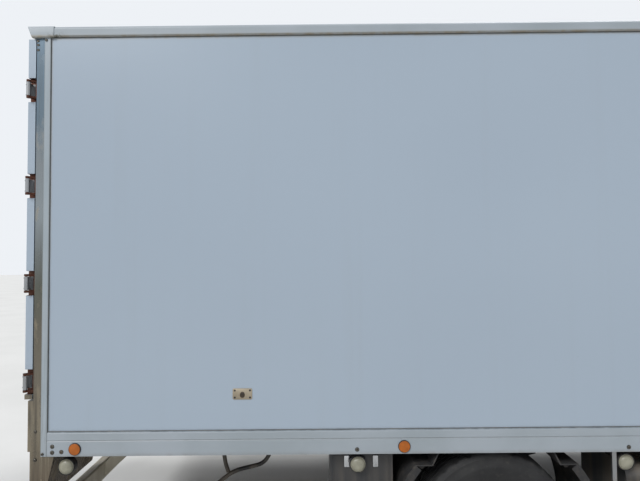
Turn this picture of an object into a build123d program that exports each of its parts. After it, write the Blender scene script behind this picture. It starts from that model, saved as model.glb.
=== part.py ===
"""A cab-over box truck with an insulated box body, rear double doors and a tilting cab.

Millimetres. +X is forward, +Y is the truck's left and +Z is up. The origin is on the
ground, midway between the two ends and between the two sides.
"""

import os
from math import cos, radians, sin

from build123d import *

# Layout along the length
FRONT_OVERHANG = 1180.0  # front axle to the bumper's face
WHEELBASE = 4297.0
REAR_OVERHANG = 2468.0  # rear axle to the back of the lock handles
FITTINGS_PROUD = 50.0  # lock handles beyond the rear doors' face

FRONT_END = (FRONT_OVERHANG + WHEELBASE + REAR_OVERHANG) / 2
FRONT_AXLE = FRONT_END - FRONT_OVERHANG
REAR_AXLE = FRONT_AXLE - WHEELBASE
DOOR_FACE = REAR_AXLE - REAR_OVERHANG + FITTINGS_PROUD

# Clearances
SEAT_GAP = 0.3  # round pieces of one body that seat on each other
SHAFT_GAP = 0.2  # a shaft in its hub, on the radius
SWING_GAP = 7.0  # a door or panel that swings past its frame

# Box body
BOX_HALF = 1100.0  # outer face of the side panels
WALL = 60.0
PANEL_LOW = 905.0
BOX_HIGH = 3049.0
PANEL_HIGH = BOX_HIGH - 57.0  # under the top rails
RAIL_LOW = 820.0  # lower edge of the bottom rail
RAIL_HIGH = 943.0
RAIL_PROUD = 8.0
FLOOR_LOW = 990.0
FLOOR_HIGH = 1100.0
BOX_INNER = BOX_HALF - WALL
BOX_FRONT = FRONT_AXLE - 700.0
POST = 70.0  # front corner posts
SUBFRAME_LOW = FLOOR_LOW - 90.0

# Rear portal and doors
DOOR_THICK = 38.0
DOOR_BORDER = 45.0
DOOR_POCKET = 4.0
PORTAL_REAR = DOOR_FACE + DOOR_THICK + SWING_GAP
PORTAL_FRONT = PORTAL_REAR + 75.0
SILL_LOW = 842.0
EAVE_REAR = DOOR_FACE + 2.0
SILL_REAR = DOOR_FACE + 18.0
DOOR_LOW = FLOOR_HIGH + SWING_GAP
DOOR_HIGH = PANEL_HIGH - SWING_GAP
DOOR_SPLIT = 4.0  # half of the gap between the two doors
HINGE_X = DOOR_FACE + 12.0
HINGE_Y = BOX_HALF + 17.0
HINGES = 4  # a side
HINGE_LOW = FLOOR_HIGH + 96.0
HINGE_HIGH = PANEL_HIGH - 277.0
HINGE_ZS = [HINGE_LOW + n * (HINGE_HIGH - HINGE_LOW) / (HINGES - 1) for n in range(HINGES)]
HINGE_NOTCH = 128.0
BARREL_HEIGHT = 72.0
BARREL_R = 10.0
PIN_R = 6.0
ARM_THICK = 12.0
HINGE_FOOT = 18.0  # width of the hinge's foot on the post's rear face

# Chassis
FRAME_HALF = 420.0
FRAME_TOP = 800.0
FRAME_HEIGHT = 190.0
FLANGE = 65.0
GAUGE = 6.0
FRAME_REAR = DOOR_FACE + 240.0
FRAME_FRONT = FRONT_END - 165.0
FRAME_LOW = FRAME_TOP - FRAME_HEIGHT
TAIL_BAR = 80.0  # width of the last cross member

# Number-plate holes
PLATE_PITCH = 210.0
PLATE_HOLE = 3.25
FRONT_PLATE_Z = 430.0
REAR_PLATE_Z = 740.0
REAR_PLATE_Y = -300.0

# Towing lug
TOW_BORE = 20.0
TOW_X = FRAME_REAR - 50.0
TOW_Z = 690.0

# Wheels
TYRE_R = 402.0
TYRE_HALF = 112.5
RIM_R = 222.0
FRONT_WHEEL_Y = 832.0
REAR_WHEEL_Y = 830.0
DUAL_HALF = 127.0
SPINDLE_R = 40.0
KINGPIN_Y = 745.0
KINGPIN_R = 20.0

# Cab
CAB_WALL = 55.0
CAB_ROOF = 45.0  # thickness of the roof
CAB_LOW = 725.0
CAB_SKIRT = 950.0
CAB_REAR = FRONT_AXLE - 590.0
ARCH_R = 540.0
FOOT_FLOOR = 865.0
SEAT_FLOOR = 1180.0
FOOT_REAR = FRONT_AXLE + 470.0
TILT_X = FRONT_AXLE + 1005.0
TILT_Z = 640.0
TILT_R = 22.0
CAB_DOOR_FRONT = FRONT_AXLE + 870.0
CAB_DOOR_REAR = FRONT_AXLE + 20.0
CAB_DOOR_LOW = 775.0
CAB_GAP = 9.0
CAB_HINGE_X = CAB_DOOR_FRONT - 10.0
CAB_HINGE_Y = 1048.0
BELT = 1290.0  # where the cab's face and sides start to lean in
CAB_EAVE = 2170.0  # where the roof starts
CAB_DOOR_HIGH = CAB_EAVE - 5.0
CAB_HINGE_ZS = (900.0, BELT - 70.0)
SCREEN_LOW = BELT + 55.0
SCREEN_HIGH = CAB_EAVE - 50.0
FACE_BELT = 1090.0  # the cab's face ahead of the front axle, at the belt and at the eave
FACE_EAVE = 945.0
GLASS = 6.0
WHEEL_HUB = (FRONT_AXLE + 520.0, -520.0, BELT + 350.0)  # centre of the steering wheel
COLUMN_ANGLE = 38.0  # column from the vertical, in degrees
COLUMN_PIN = 12.0

# Height, rear end, front end, half width, front corner and rear corner radius of the cab
CAB_SECTIONS = (
    # z, rear, front, half width, front radius, rear radius
    (CAB_LOW, -590.0, 1085.0, 1035.0, 210.0, 40.0),
    (BELT, -590.0, FACE_BELT, 1040.0, 220.0, 40.0),
    (CAB_EAVE, -590.0, FACE_EAVE, 990.0, 210.0, 40.0),
    (CAB_EAVE + 115, -560.0, 880.0, 945.0, 190.0, 50.0),
    (CAB_EAVE + 165, -480.0, 760.0, 850.0, 150.0, 60.0),
)


def block(x0, x1, y0, y1, z0, z1):
    """A box between two corners."""
    centre = Pos((x0 + x1) / 2, (y0 + y1) / 2, (z0 + z1) / 2)
    return centre * Box(x1 - x0, y1 - y0, z1 - z0)


def outline(*corners):
    """A closed outline of straight lines. A corner (u, v, r) is rounded by r."""
    face = make_face(Polyline(*[c[:2] for c in corners], close=True))
    for u, v, *radius in corners:
        if radius:
            face = fillet(face.vertices().sort_by_distance((u, v, 0))[0], radius[0])
    return face


def along_x(face, x0, x1):
    """An outline in Y and Z, carried from x0 to x1."""
    return extrude(Plane.YZ.offset(x0) * face, x1 - x0)


def along_y(face, y0, y1):
    """An outline in X and Z, carried from y0 to y1."""
    return extrude(Plane.XZ.offset(-y1) * face, y1 - y0)


def along_z(face, z0, z1):
    """An outline in X and Y, carried from z0 to z1."""
    return extrude(Plane.XY.offset(z0) * face, z1 - z0)


def rod(start, end, radius):
    """A round bar between two points."""
    line = Vector(*end) - Vector(*start)
    return extrude(Plane(origin=start, z_dir=line) * Circle(radius), line.length)


def turned(profile, centre, outward=1):
    """A profile of (axial, radius) points, turned about Y. Outward is +1 or -1."""
    face = Plane.YZ * outline(*profile)
    solid = revolve(face, Axis.Y)
    if outward < 0:
        solid = solid.mirror(Plane.XZ)
    return Pos(*centre) * solid


def other_side(shape):
    """The same piece on the other side of the truck."""
    return shape.mirror(Plane.XZ)


def both(*shapes):
    """Pieces and their mirror images."""
    return [*shapes, *[other_side(s) for s in shapes]]


def write(name, *shapes):
    """Writes one node, which may hold several solids that don't touch."""
    solids = [s for shape in shapes for s in shape.solids()]
    node = solids[0] if len(solids) == 1 else Compound(children=solids)
    export_step(node, f"parts/{name}.step")


# Chassis frame, axles and running gear


def chassis_frame():
    """Two channel rails with the cab's pivot brackets, and the cross members between them."""
    inner = FRAME_HALF - GAUGE
    lip = FRAME_HALF - FLANGE
    top, low = FRAME_TOP, FRAME_LOW
    channel = outline(
        (FRAME_HALF, low), (FRAME_HALF, top), (lip, top), (lip, top - GAUGE),
        (inner, top - GAUGE), (inner, low + GAUGE), (lip, low + GAUGE), (lip, low),
    )
    rail = along_x(channel, FRAME_REAR, FRAME_FRONT)
    # distance behind the front end, lower edge, height and width of each cross member
    members = (
        (172.0, FRAME_LOW + 10, 150.0, 90.0),
        (2560.0, FRAME_LOW + 20, 150.0, 60.0),
        (3670.0, FRAME_LOW + 20, 150.0, 60.0),
        (4780.0, FRAME_LOW + 20, 150.0, 60.0),
        (6050.0, FRAME_LOW + 20, 150.0, 60.0),
        (6900.0, FRAME_LOW + 20, 150.0, 60.0),
        (FRONT_END - FRAME_REAR - TAIL_BAR, FRAME_LOW + 10, 170.0, TAIL_BAR),
    )
    reach = inner - SEAT_GAP
    bars = []
    for behind, z, height, width in members:
        x = FRONT_END - behind
        bar = block(x - width, x, -reach, reach, z, z + height)
        bars.append(bar - block(x - width, x - GAUGE, -reach, reach, z + GAUGE, z + height - GAUGE))
    ear = block(TILT_X - 60, TILT_X + 30, FRAME_HALF, FRAME_HALF + 14, TILT_Z - 30, FRAME_LOW + 40)
    ear += along_y(Pos(TILT_X, TILT_Z) * Circle(TILT_R + 16), FRAME_HALF, FRAME_HALF + 14)
    ear -= along_y(Pos(TILT_X, TILT_Z) * Circle(TILT_R), FRAME_HALF - 1, FRAME_HALF + 15)
    lug = block(TOW_X, FRAME_REAR + TAIL_BAR - GAUGE, -12, 12, TOW_Z - 38, TOW_Z + 38)
    lug += rod((TOW_X, -12, TOW_Z), (TOW_X, 12, TOW_Z), 38)
    lug -= rod((TOW_X, -20, TOW_Z), (TOW_X, 20, TOW_Z), TOW_BORE)
    bars[-1] += lug
    return both(rail + ear) + bars


def powertrain():
    """Engine and gearbox as one plain stepped block between the rails."""
    engine = block(FRONT_AXLE - 560, FRONT_AXLE + 400, -290, 290, 480, 1080)
    gearbox = block(FRONT_AXLE - 1120, FRONT_AXLE - 560, -190, 190, 470, 760)
    return engine + gearbox


def drive_shaft():
    """The shaft from the gearbox to the rear axle, with its centre bearing."""
    start = (FRONT_AXLE - 1120, 0, 550.0)
    middle = (FRONT_AXLE - 2520, 0, 525.0)
    end = (REAR_AXLE + 215, 0, TYRE_R + 20)
    shaft = rod((start[0] - 20, 0, start[2]), middle, 42)
    shaft += rod(middle, (end[0] + 20, 0, end[2]), 42)
    for x, z in ((start[0] - 45, start[2]), (middle[0], middle[2]), (end[0] + 45, end[2])):
        shaft += Pos(x, 0, z) * Rot(0, 90, 0) * Cylinder(62, 90)
    hanger = block(middle[0] - 20, middle[0] + 20, -50, 50, middle[2], FRAME_LOW + 20)
    return shaft + hanger


def front_axle():
    """A dropped beam with an eye at each kingpin."""
    z = TYRE_R
    beam = along_y(
        outline((FRONT_AXLE - 40, 350), (FRONT_AXLE + 40, 350), (FRONT_AXLE + 40, 430),
                (FRONT_AXLE - 40, 430)),
        -560, 560,
    )
    arm = along_x(
        outline((540, 350), (KINGPIN_Y - 20, z - 45), (KINGPIN_Y - 20, z + 45), (540, 430)),
        FRONT_AXLE - 36, FRONT_AXLE + 36,
    )
    eye = Pos(FRONT_AXLE, KINGPIN_Y, z) * Cylinder(36, 96)
    beam += arm + eye + other_side(arm + eye)
    for y in (KINGPIN_Y, -KINGPIN_Y):
        beam += Pos(FRONT_AXLE, y, z) * Cylinder(KINGPIN_R, 190)
    return beam


def rear_axle():
    """The axle tube with its differential housing and wheel spindles."""
    z = TYRE_R
    tube_end, spindle_end = 640.0, REAR_WHEEL_Y + 126.0
    tube = rod((REAR_AXLE, -tube_end, z), (REAR_AXLE, tube_end, z), 68)
    spindles = rod((REAR_AXLE, -spindle_end, z), (REAR_AXLE, spindle_end, z), SPINDLE_R)
    bowl = Pos(REAR_AXLE, 0, z) * Rot(0, 90, 0) * Cylinder(178, 150)
    bowl = chamfer(bowl.edges().filter_by(GeomType.CIRCLE), 40)
    nose = rod((REAR_AXLE, 0, z + 20), (REAR_AXLE + 215, 0, z + 20), 80)
    pad = block(REAR_AXLE - 70, REAR_AXLE + 70, FRAME_HALF - 7, FRAME_HALF + 77, z, z + 68)
    return tube + spindles + bowl + nose + pad + other_side(pad)


def leaf_spring(x, y, half, seat_z, eye_z, leaves):
    """One stack of leaves from eye to eye, bent into a bow, with its two shackles."""
    width, leaf = 70.0, 14.0
    rise = eye_z - seat_z
    stack = None
    for n in range(leaves):
        reach = half * (1 - n / (leaves + 1))
        z = seat_z + (leaves - n) * leaf
        tip = z + rise * (reach / half) ** 2
        bow = ThreePointArc((-reach, tip), (0, z), (reach, tip))
        under = ThreePointArc((reach, tip - leaf), (0, z - leaf), (-reach, tip - leaf))
        sides = Line((reach, tip), (reach, tip - leaf)) + Line((-reach, tip - leaf), (-reach, tip))
        one = along_y(Pos(x, 0) * make_face(bow + under + sides), y - width / 2, y + width / 2)
        stack = one if stack is None else stack + one
    return stack


def leaf_springs():
    """Front and rear springs with the hangers that carry their eyes."""
    # axle, spring centre, half span, top of the axle, eye height, leaves
    table = (
        (FRONT_AXLE, FRAME_HALF - 35, 600.0, 430.0, 535.0, 4),
        (REAR_AXLE, FRAME_HALF + 35, 640.0, TYRE_R + 68, 580.0, 6),
    )
    springs = []
    for x, y, half, seat, eye, leaves in table:
        spring = leaf_spring(x, y, half, seat, eye, leaves)
        eye_top = eye + leaves * 14
        for end in (-1, 1):
            hanger_top = FRAME_LOW if y < FRAME_HALF else FRAME_LOW + 90
            y0 = y - 35 if y < FRAME_HALF else FRAME_HALF
            spring += block(x + end * half - 45, x + end * half + 45, y0, y + 35,
                            eye_top - 30, hanger_top)
        spring += block(x - 70, x + 70, y - 42, y + 42, seat, seat + leaves * 14 + 14)
        springs += both(spring)
    return springs


ARM_REACH = 130.0  # kingpin to the tie rod's ball


def knuckle():
    """The left steering knuckle: fork round the axle's eye, spindle and steering arm."""
    x, z = FRONT_AXLE, TYRE_R
    web = KINGPIN_Y + 42
    outer = FRONT_WHEEL_Y - 26
    fork = block(x - 42, x + 42, KINGPIN_Y - 42, outer, z - 88, z + 88)
    fork -= block(x - 50, x + 50, KINGPIN_Y - 50, web, z - 54, z + 54)
    fork -= Pos(x, KINGPIN_Y, z) * Cylinder(KINGPIN_R + SHAFT_GAP, 300)
    spindle = rod((x, outer - 5, z), (x, FRONT_WHEEL_Y + 95, z), SPINDLE_R)
    arm = block(x - ARM_REACH - 20, x - 30, KINGPIN_Y - 24, KINGPIN_Y + 24, z - 88, z - 66)
    return fork + spindle + arm


def tie_rod():
    """The rod that links the two steering arms, with a ball housing at each end."""
    x, z = FRONT_AXLE - ARM_REACH, TYRE_R - 88 - 17
    bar = rod((x, -KINGPIN_Y, z), (x, KINGPIN_Y, z), 16)
    for y in (-KINGPIN_Y, KINGPIN_Y):
        bar += Pos(x, y, z) * Cylinder(20, 34)
    return bar


# Wheels: (axial, radius) profiles, with the outboard side positive

TYRE = (
    (-84, RIM_R + SEAT_GAP), (-TYRE_HALF, 308), (-94, TYRE_R),
    (94, TYRE_R), (TYRE_HALF, 308), (84, RIM_R + SEAT_GAP),
)
INNER_TYRE = (
    (-TYRE_HALF + 8, RIM_R + SEAT_GAP), (-TYRE_HALF + 8, TYRE_R),
    (TYRE_HALF - 8, TYRE_R), (TYRE_HALF - 8, RIM_R + SEAT_GAP),
)
FRONT_RIM = (
    (158, 0), (158, 66), (127, 78), (127, 148), (40, 212), (76, 212), (76, RIM_R),
    (-76, RIM_R), (-76, 212), (26, 212), (113, 148), (113, 86), (-20, 86),
    (-20, SPINDLE_R + SHAFT_GAP), (100, SPINDLE_R + SHAFT_GAP), (100, 0),
)
REAR_RIM = (
    (145, 0), (145, 84), (20, 84), (20, 148), (90, 212), (203, 212), (203, RIM_R),
    (51, RIM_R), (51, 205), (-51, 205), (-51, RIM_R), (-203, RIM_R), (-203, 212),
    (-90, 212), (-20, 148), (-20, 100), (-140, 100), (-140, SPINDLE_R + SHAFT_GAP),
    (132, SPINDLE_R + SHAFT_GAP), (132, 0),
)


def front_wheel(side):
    """Rim with its hub, and tyre, of one front wheel."""
    centre = (FRONT_AXLE, side * FRONT_WHEEL_Y, TYRE_R)
    rim = turned(FRONT_RIM, centre, side)
    for hole in range(8):
        angle = radians(45 * hole + 22.5)
        at = (centre[0] + 178 * cos(angle), centre[2] + 178 * sin(angle))
        rim -= Pos(at[0], centre[1] + side * 100, at[1]) * Rot(90, 0, 0) * Cylinder(20, 120)
    return rim, turned(TYRE, centre, side)


def rear_wheels(side):
    """Both rims on their hub, and both tyres, of one rear wheel pair."""
    centre = (REAR_AXLE, side * REAR_WHEEL_Y, TYRE_R)
    rims = turned(REAR_RIM, centre, side)
    for hole in range(8):
        angle = radians(45 * hole + 22.5)
        at = (centre[0] + 178 * cos(angle), centre[2] + 178 * sin(angle))
        rims -= Pos(at[0], centre[1] + side * 30, at[1]) * Rot(90, 0, 0) * Cylinder(20, 140)
    outer = turned(TYRE, (centre[0], centre[1] + side * DUAL_HALF, centre[2]), side)
    inner = turned(INNER_TYRE, (centre[0], centre[1] - side * DUAL_HALF, centre[2]), side)
    return rims, [outer, inner]


# What hangs from the chassis


def fuel_tank():
    """The steel tank on the right, with its straps and filler."""
    x0, x1 = DOOR_FACE + 3125, DOOR_FACE + 4075
    inner, outer = -560.0, 90 - BOX_HALF
    shell = along_x(
        outline((inner, 310, 60), (inner, 700, 60), (outer, 700, 60), (outer, 310, 60)), x0, x1
    )
    filler = rod((x1 - 160, outer + 50, 690), (x1 - 160, outer + 50, 745), 45)
    straps = shell + filler
    for x in (x0 + 150, x1 - 210):
        band = along_x(
            outline((inner + 6, 304, 60), (inner + 6, 706, 60), (outer - 6, 706, 60),
                    (outer - 6, 304, 60)),
            x, x + 60,
        )
        bracket = block(x, x + 60, inner, -FRAME_HALF, 560, 700)
        straps += band + bracket
    return straps


def battery_box():
    """The battery box and air tank on the left."""
    x0 = DOOR_FACE + 3315
    box = block(x0, x0 + 620, FRAME_HALF, BOX_HALF - 100, 400, 700)
    box = fillet(box.edges().filter_by(Axis.X), 25)
    tank = rod((x0 + 800, 640, 580), (x0 + 1500, 640, 580), 130)
    arm = block(x0 + 1100, x0 + 1160, FRAME_HALF, 560, 560, 640)
    return [box, tank + arm]


def exhaust():
    """Silencer and tail pipe on the left, ahead of the battery box."""
    x0, x1 = FRONT_AXLE - 1400, FRONT_AXLE - 780
    can = rod((x0, 660, 520), (x1, 660, 520), 150)
    pipe = rod((x0 - 180, 660, 480), (x0 + 20, 660, 480), 45)
    hanger = block((x0 + x1) / 2 - 30, (x0 + x1) / 2 + 30, FRAME_HALF, 560, 560, 680)
    return can + pipe + hanger


def tool_box():
    """The box behind the right rear wheels, on an arm from the frame."""
    x0, x1 = REAR_AXLE - 855, REAR_AXLE - 525
    box = block(x0, x1, 70 - BOX_HALF, -620, 470, 800)
    arm = block(x0 + 30, x0 + 130, -621, -FRAME_HALF, 630, 720)
    return box + arm


def side_guards():
    """Two rails on posts between the axles, one set a side."""
    x0, x1 = REAR_AXLE + 600, BOX_FRONT - POST - 20
    y0, y1, post, posts = BOX_HALF - 40, BOX_HALF - 10, 22.0, 4
    guard = [block(x0, x1, y0 + 12, y1, low, low + 80) for low in (420, 570)]
    for n in range(posts):
        x = x0 + n * (x1 - x0 - post) / (posts - 1)
        guard.append(block(x, x + post, y0, y0 + 12 - SEAT_GAP, 420, RAIL_LOW))
    return both(*guard)


GUARD_R = 545.0  # rear mudguard
GUARD_STEP = 40.0  # angle of the step in the guard, up from the axle
FLAP_ANGLE = 21.0  # angle of the rear guard's lower end
FLAP_X = REAR_AXLE - GUARD_R * cos(radians(FLAP_ANGLE))
GUARD_INNER = 575.0
GUARD_OUTER = BOX_HALF - 15.0


def mudguard_quarter(low_angle):
    """One quarter guard ahead of the left rear wheels, from an angle up to its step."""
    sheet, y0, y1 = 5.0, GUARD_INNER, GUARD_OUTER
    low, high = radians(low_angle), radians(GUARD_STEP)
    wedge = outline((0, 0), (900 * cos(low), 900 * sin(low)), (900, 900 * sin(high) / cos(high)))
    arc = (Circle(GUARD_R) - Circle(GUARD_R - sheet)) & wedge
    x, z = GUARD_R * cos(high), GUARD_R * sin(high)
    top = RAIL_LOW - 2 - TYRE_R
    shelf = outline(
        (x, z), (x - 6, z - 6), (325, z - 6), (290, top), (296, top), (330, z),
    )
    quarter = along_y(Pos(REAR_AXLE, TYRE_R) * (arc + shelf), y0, y1)
    lip = (Circle(GUARD_R) - Circle(GUARD_R - 42)) & wedge
    quarter += along_y(Pos(REAR_AXLE, TYRE_R) * lip, y1 - sheet, y1)
    bar_x, bar_z = REAR_AXLE + 375, TYRE_R + z - 20
    return quarter + rod((bar_x, FRAME_HALF, bar_z), (bar_x, y1 - 40, bar_z), 15)


def rear_mudguards():
    """A quarter guard ahead of and behind each pair of rear wheels."""
    ahead = mudguard_quarter(-9.5)
    behind = mudguard_quarter(FLAP_ANGLE).mirror(Plane.YZ.offset(REAR_AXLE))
    z = TYRE_R + GUARD_R * sin(radians(FLAP_ANGLE))
    behind += block(FLAP_X, FLAP_X + 6, GUARD_INNER, GUARD_OUTER, z - 40, z + 2)
    return both(ahead, behind)


def mudflaps():
    """Rubber flaps on the rear guards' lower ends."""
    z = TYRE_R + GUARD_R * sin(radians(FLAP_ANGLE))
    return both(block(FLAP_X - 8, FLAP_X, GUARD_INNER + 5, GUARD_OUTER - 5, 200, z))


def underrun_bar():
    """The rear bar with its two stays from the frame."""
    x0 = DOOR_FACE + 60
    bar = along_y(
        outline((x0, 410, 12), (x0 + 60, 410, 12), (x0 + 60, 520, 12), (x0, 520, 12)),
        60 - BOX_HALF, BOX_HALF - 60,
    )
    stay = along_y(
        outline((x0 + 60, 425), (x0 + 60, 505), (FRAME_REAR + 20, 690), (FRAME_REAR + 120, 690),
                (FRAME_REAR + 120, 640)),
        FRAME_HALF, FRAME_HALF + 12,
    )
    return bar + stay + other_side(stay)


LAMP_X = DOOR_FACE + 29.0
LAMP_DEEP = 68.0  # of the housing's lower end
LAMP_LOW = 580.0
LAMP_INNER = 600.0  # the recess that holds the lenses
LAMP_OUTER = BOX_HALF - 40.0


def tail_lamps():
    """Three lenses a side in each housing."""
    lenses = []
    pitch = (LAMP_OUTER - LAMP_INNER - 1) / 3
    for n in range(3):
        y = LAMP_INNER + 2 + n * pitch
        lenses.append(block(LAMP_X - 8, LAMP_X + 40, y, y + pitch - 3, LAMP_LOW + 64, LAMP_LOW + 196))
    return both(*lenses)


# Box body


def body_subframe():
    """Two long sills on the chassis rails, and the floor's cross members."""
    x0, x1 = PORTAL_FRONT, BOX_FRONT - WALL
    low = SUBFRAME_LOW
    frame = both(block(x0 + 60, x1, FRAME_HALF - 60, FRAME_HALF, FRAME_TOP, low - SEAT_GAP))
    count = 13
    taper = outline(
        (-BOX_INNER, FLOOR_LOW), (-BOX_INNER, FLOOR_LOW - 50), (-620, low), (620, low),
        (BOX_INNER, FLOOR_LOW - 50), (BOX_INNER, FLOOR_LOW),
    )
    for n in range(count):
        x = x0 + 60 + n * (x1 - x0 - 110) / (count - 1)
        frame.append(along_x(taper, x, x + 50))
    return frame


def box_floor():
    """The insulated floor slab."""
    return block(PORTAL_FRONT, BOX_FRONT - WALL, -BOX_INNER, BOX_INNER, FLOOR_LOW, FLOOR_HIGH)


def box_sides():
    """The two flat side panels."""
    return both(block(PORTAL_FRONT, BOX_FRONT - POST, BOX_INNER, BOX_HALF, PANEL_LOW, PANEL_HIGH))


def box_front():
    """The front wall, down to the subframe."""
    return block(BOX_FRONT - WALL, BOX_FRONT, -BOX_INNER, BOX_INNER, FRAME_TOP + 20, PANEL_HIGH)


def box_roof():
    """The roof slab between the top rails."""
    return block(PORTAL_FRONT, BOX_FRONT - POST, -BOX_INNER, BOX_INNER, PANEL_HIGH, BOX_HIGH - 7)


def lamp_boxes():
    """Stainless housings under the sill's ends, with tapered side plates."""
    profile = outline(
        (LAMP_X, LAMP_LOW), (LAMP_X + LAMP_DEEP, LAMP_LOW), (PORTAL_FRONT + 33, RAIL_LOW - 1),
        (PORTAL_FRONT, RAIL_LOW - 1), (PORTAL_FRONT, SILL_LOW), (LAMP_X, SILL_LOW),
    )
    shell = along_y(profile, LAMP_INNER - 40, BOX_HALF - 2)
    inner = along_y(
        outline((LAMP_X - 1, LAMP_LOW + 60), (LAMP_X + 40, LAMP_LOW + 60),
                (LAMP_X + 40, LAMP_LOW + 200), (LAMP_X - 1, LAMP_LOW + 200)),
        LAMP_INNER, LAMP_OUTER,
    )
    return both(shell - inner)


def rear_portal():
    """Posts, header and sill round the doorway."""
    post = block(PORTAL_REAR, PORTAL_FRONT, BOX_INNER, BOX_HALF, SILL_LOW, PANEL_HIGH)
    header = block(PORTAL_REAR, PORTAL_FRONT, -BOX_INNER, BOX_INNER, PANEL_HIGH - 85, PANEL_HIGH)
    sill = block(SILL_REAR, PORTAL_FRONT, -BOX_HALF, BOX_HALF, SILL_LOW, FLOOR_HIGH)
    portal = post + other_side(post) + header + sill
    for housing in lamp_boxes():
        portal += housing
    y, z = REAR_PLATE_Y, REAR_PLATE_Z
    bracket = block(LAMP_X, LAMP_X + 6, y - 190, y + 190, z - 90, SILL_LOW)
    for hole_y in (y - PLATE_PITCH / 2, y + PLATE_PITCH / 2):
        bracket -= rod((LAMP_X - 5, hole_y, z), (LAMP_X + 15, hole_y, z), PLATE_HOLE)
    portal += bracket
    for keeper in lock_keepers(SILL_REAR, FLOOR_HIGH - 65, FLOOR_HIGH - 15):
        portal += keeper
    return portal


def top_rails():
    """Rounded rails along both roof edges, the rear eave and the front edge."""
    proud = 14.0
    nose = outline(
        (BOX_INNER, PANEL_HIGH), (BOX_HALF + proud - 6, PANEL_HIGH),
        (BOX_HALF + proud, PANEL_HIGH + 6), (BOX_HALF + proud, BOX_HIGH, 18),
        (BOX_INNER, BOX_HIGH),
    )
    side = along_x(nose, PORTAL_FRONT, BOX_FRONT - POST)
    eave_profile = outline(
        (EAVE_REAR, BOX_HIGH - 4), (EAVE_REAR + 22, PANEL_HIGH), (PORTAL_FRONT, PANEL_HIGH),
        (PORTAL_FRONT, BOX_HIGH), (EAVE_REAR + 6, BOX_HIGH),
    )
    reach = BOX_HALF + proud
    ends = outline(
        (-reach, PANEL_HIGH), (-reach, BOX_HIGH, 8), (reach, BOX_HIGH, 8), (reach, PANEL_HIGH)
    )
    eave = along_y(eave_profile, -reach, reach) & along_x(ends, EAVE_REAR, PORTAL_FRONT)
    front_profile = outline(
        (BOX_FRONT - POST, PANEL_HIGH), (BOX_FRONT, PANEL_HIGH), (BOX_FRONT, BOX_HIGH, 34),
        (BOX_FRONT - POST, BOX_HIGH),
    )
    front = along_y(front_profile, -BOX_HALF - proud, BOX_HALF + proud)
    rails = side + other_side(side) + eave + front
    for keeper in lock_keepers(EAVE_REAR + 4, BOX_HIGH - 26, BOX_HIGH - 2):
        rails += keeper
    return rails


def bottom_rails():
    """Side rails under the panels, with a lip over the panel's foot and a groove."""
    outer = BOX_HALF + RAIL_PROUD
    section = outline(
        (outer, RAIL_LOW), (outer, 893), (outer - 3, 897), (outer, 901), (outer, RAIL_HIGH - 9),
        (BOX_HALF + 1, RAIL_HIGH), (BOX_HALF, RAIL_HIGH), (BOX_HALF, PANEL_LOW),
        (BOX_INNER, PANEL_LOW), (BOX_INNER, PANEL_LOW - 8), (BOX_HALF, PANEL_LOW - 8),
        (BOX_HALF, RAIL_LOW + 8), (BOX_HALF - 40, RAIL_LOW + 8), (BOX_HALF - 40, RAIL_LOW),
    )
    return both(along_x(section, PORTAL_FRONT + 2, BOX_FRONT - POST))


def corner_trims():
    """White covers over the rear posts' joint, and rounded posts at the front corners."""
    cover = block(PORTAL_REAR + 43, PORTAL_FRONT, BOX_HALF, BOX_HALF + 6, RAIL_LOW, PANEL_HIGH)
    post = along_z(
        outline(
            (BOX_FRONT - POST, BOX_INNER), (BOX_FRONT, BOX_INNER),
            (BOX_FRONT, BOX_HALF + 8, 45), (BOX_FRONT - POST, BOX_HALF + 8),
        ),
        RAIL_LOW, PANEL_HIGH,
    )
    return both(cover, post)


REFLECTOR_Z = RAIL_LOW + 37.0


def side_reflectors():
    """Round amber reflectors on the bottom rails."""
    discs = []
    for behind in (265.0, 1943.0, 3865.0, 5715.0):
        x = DOOR_FACE + behind
        y = BOX_HALF + RAIL_PROUD
        discs.append(rod((x, y, REFLECTOR_Z), (x, y + 8, REFLECTOR_Z), 30))
    return both(*discs)


LAMP_XS = (202.0, 1709.0, 3089.0, 4465.0, 5715.0)
MARKER_Z = RAIL_LOW - 67.0


def marker_lamps():
    """Round lamps under the bottom rails, each on a bracket from the floor's frame."""
    lamps = []
    z, y = MARKER_Z, BOX_HALF - 62.0
    for behind in LAMP_XS:
        x = DOOR_FACE + behind
        body = rod((x, y, z), (x, y + 30, z), 44)
        stay = block(x - 20, x + 20, y - 6, y + 2, z - 20, RAIL_LOW)
        stay += block(x - 20, x + 20, y - 6, BOX_HALF - 2, RAIL_LOW - 5, RAIL_LOW)
        lamps.append(body + stay)
    return both(*lamps)


def marker_domes():
    """The lamps' pale domed lenses."""
    domes = []
    z, y = MARKER_Z, BOX_HALF - 32.0
    for behind in LAMP_XS:
        x = DOOR_FACE + behind
        ball = Pos(x, y - 26, z) * Sphere(48)
        domes.append(ball & block(x - 60, x + 60, y, y + 60, z - 60, z + 60))
    return both(*domes)


CATCH_X = DOOR_FACE + 1119.0
CATCH_Z = 1126.0


def door_catches():
    """The small plates that meet the open doors."""
    plate = block(CATCH_X - 50, CATCH_X + 50, BOX_HALF, BOX_HALF + 3, CATCH_Z - 28, CATCH_Z + 28)
    return both(plate)


# Rear doors


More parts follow.
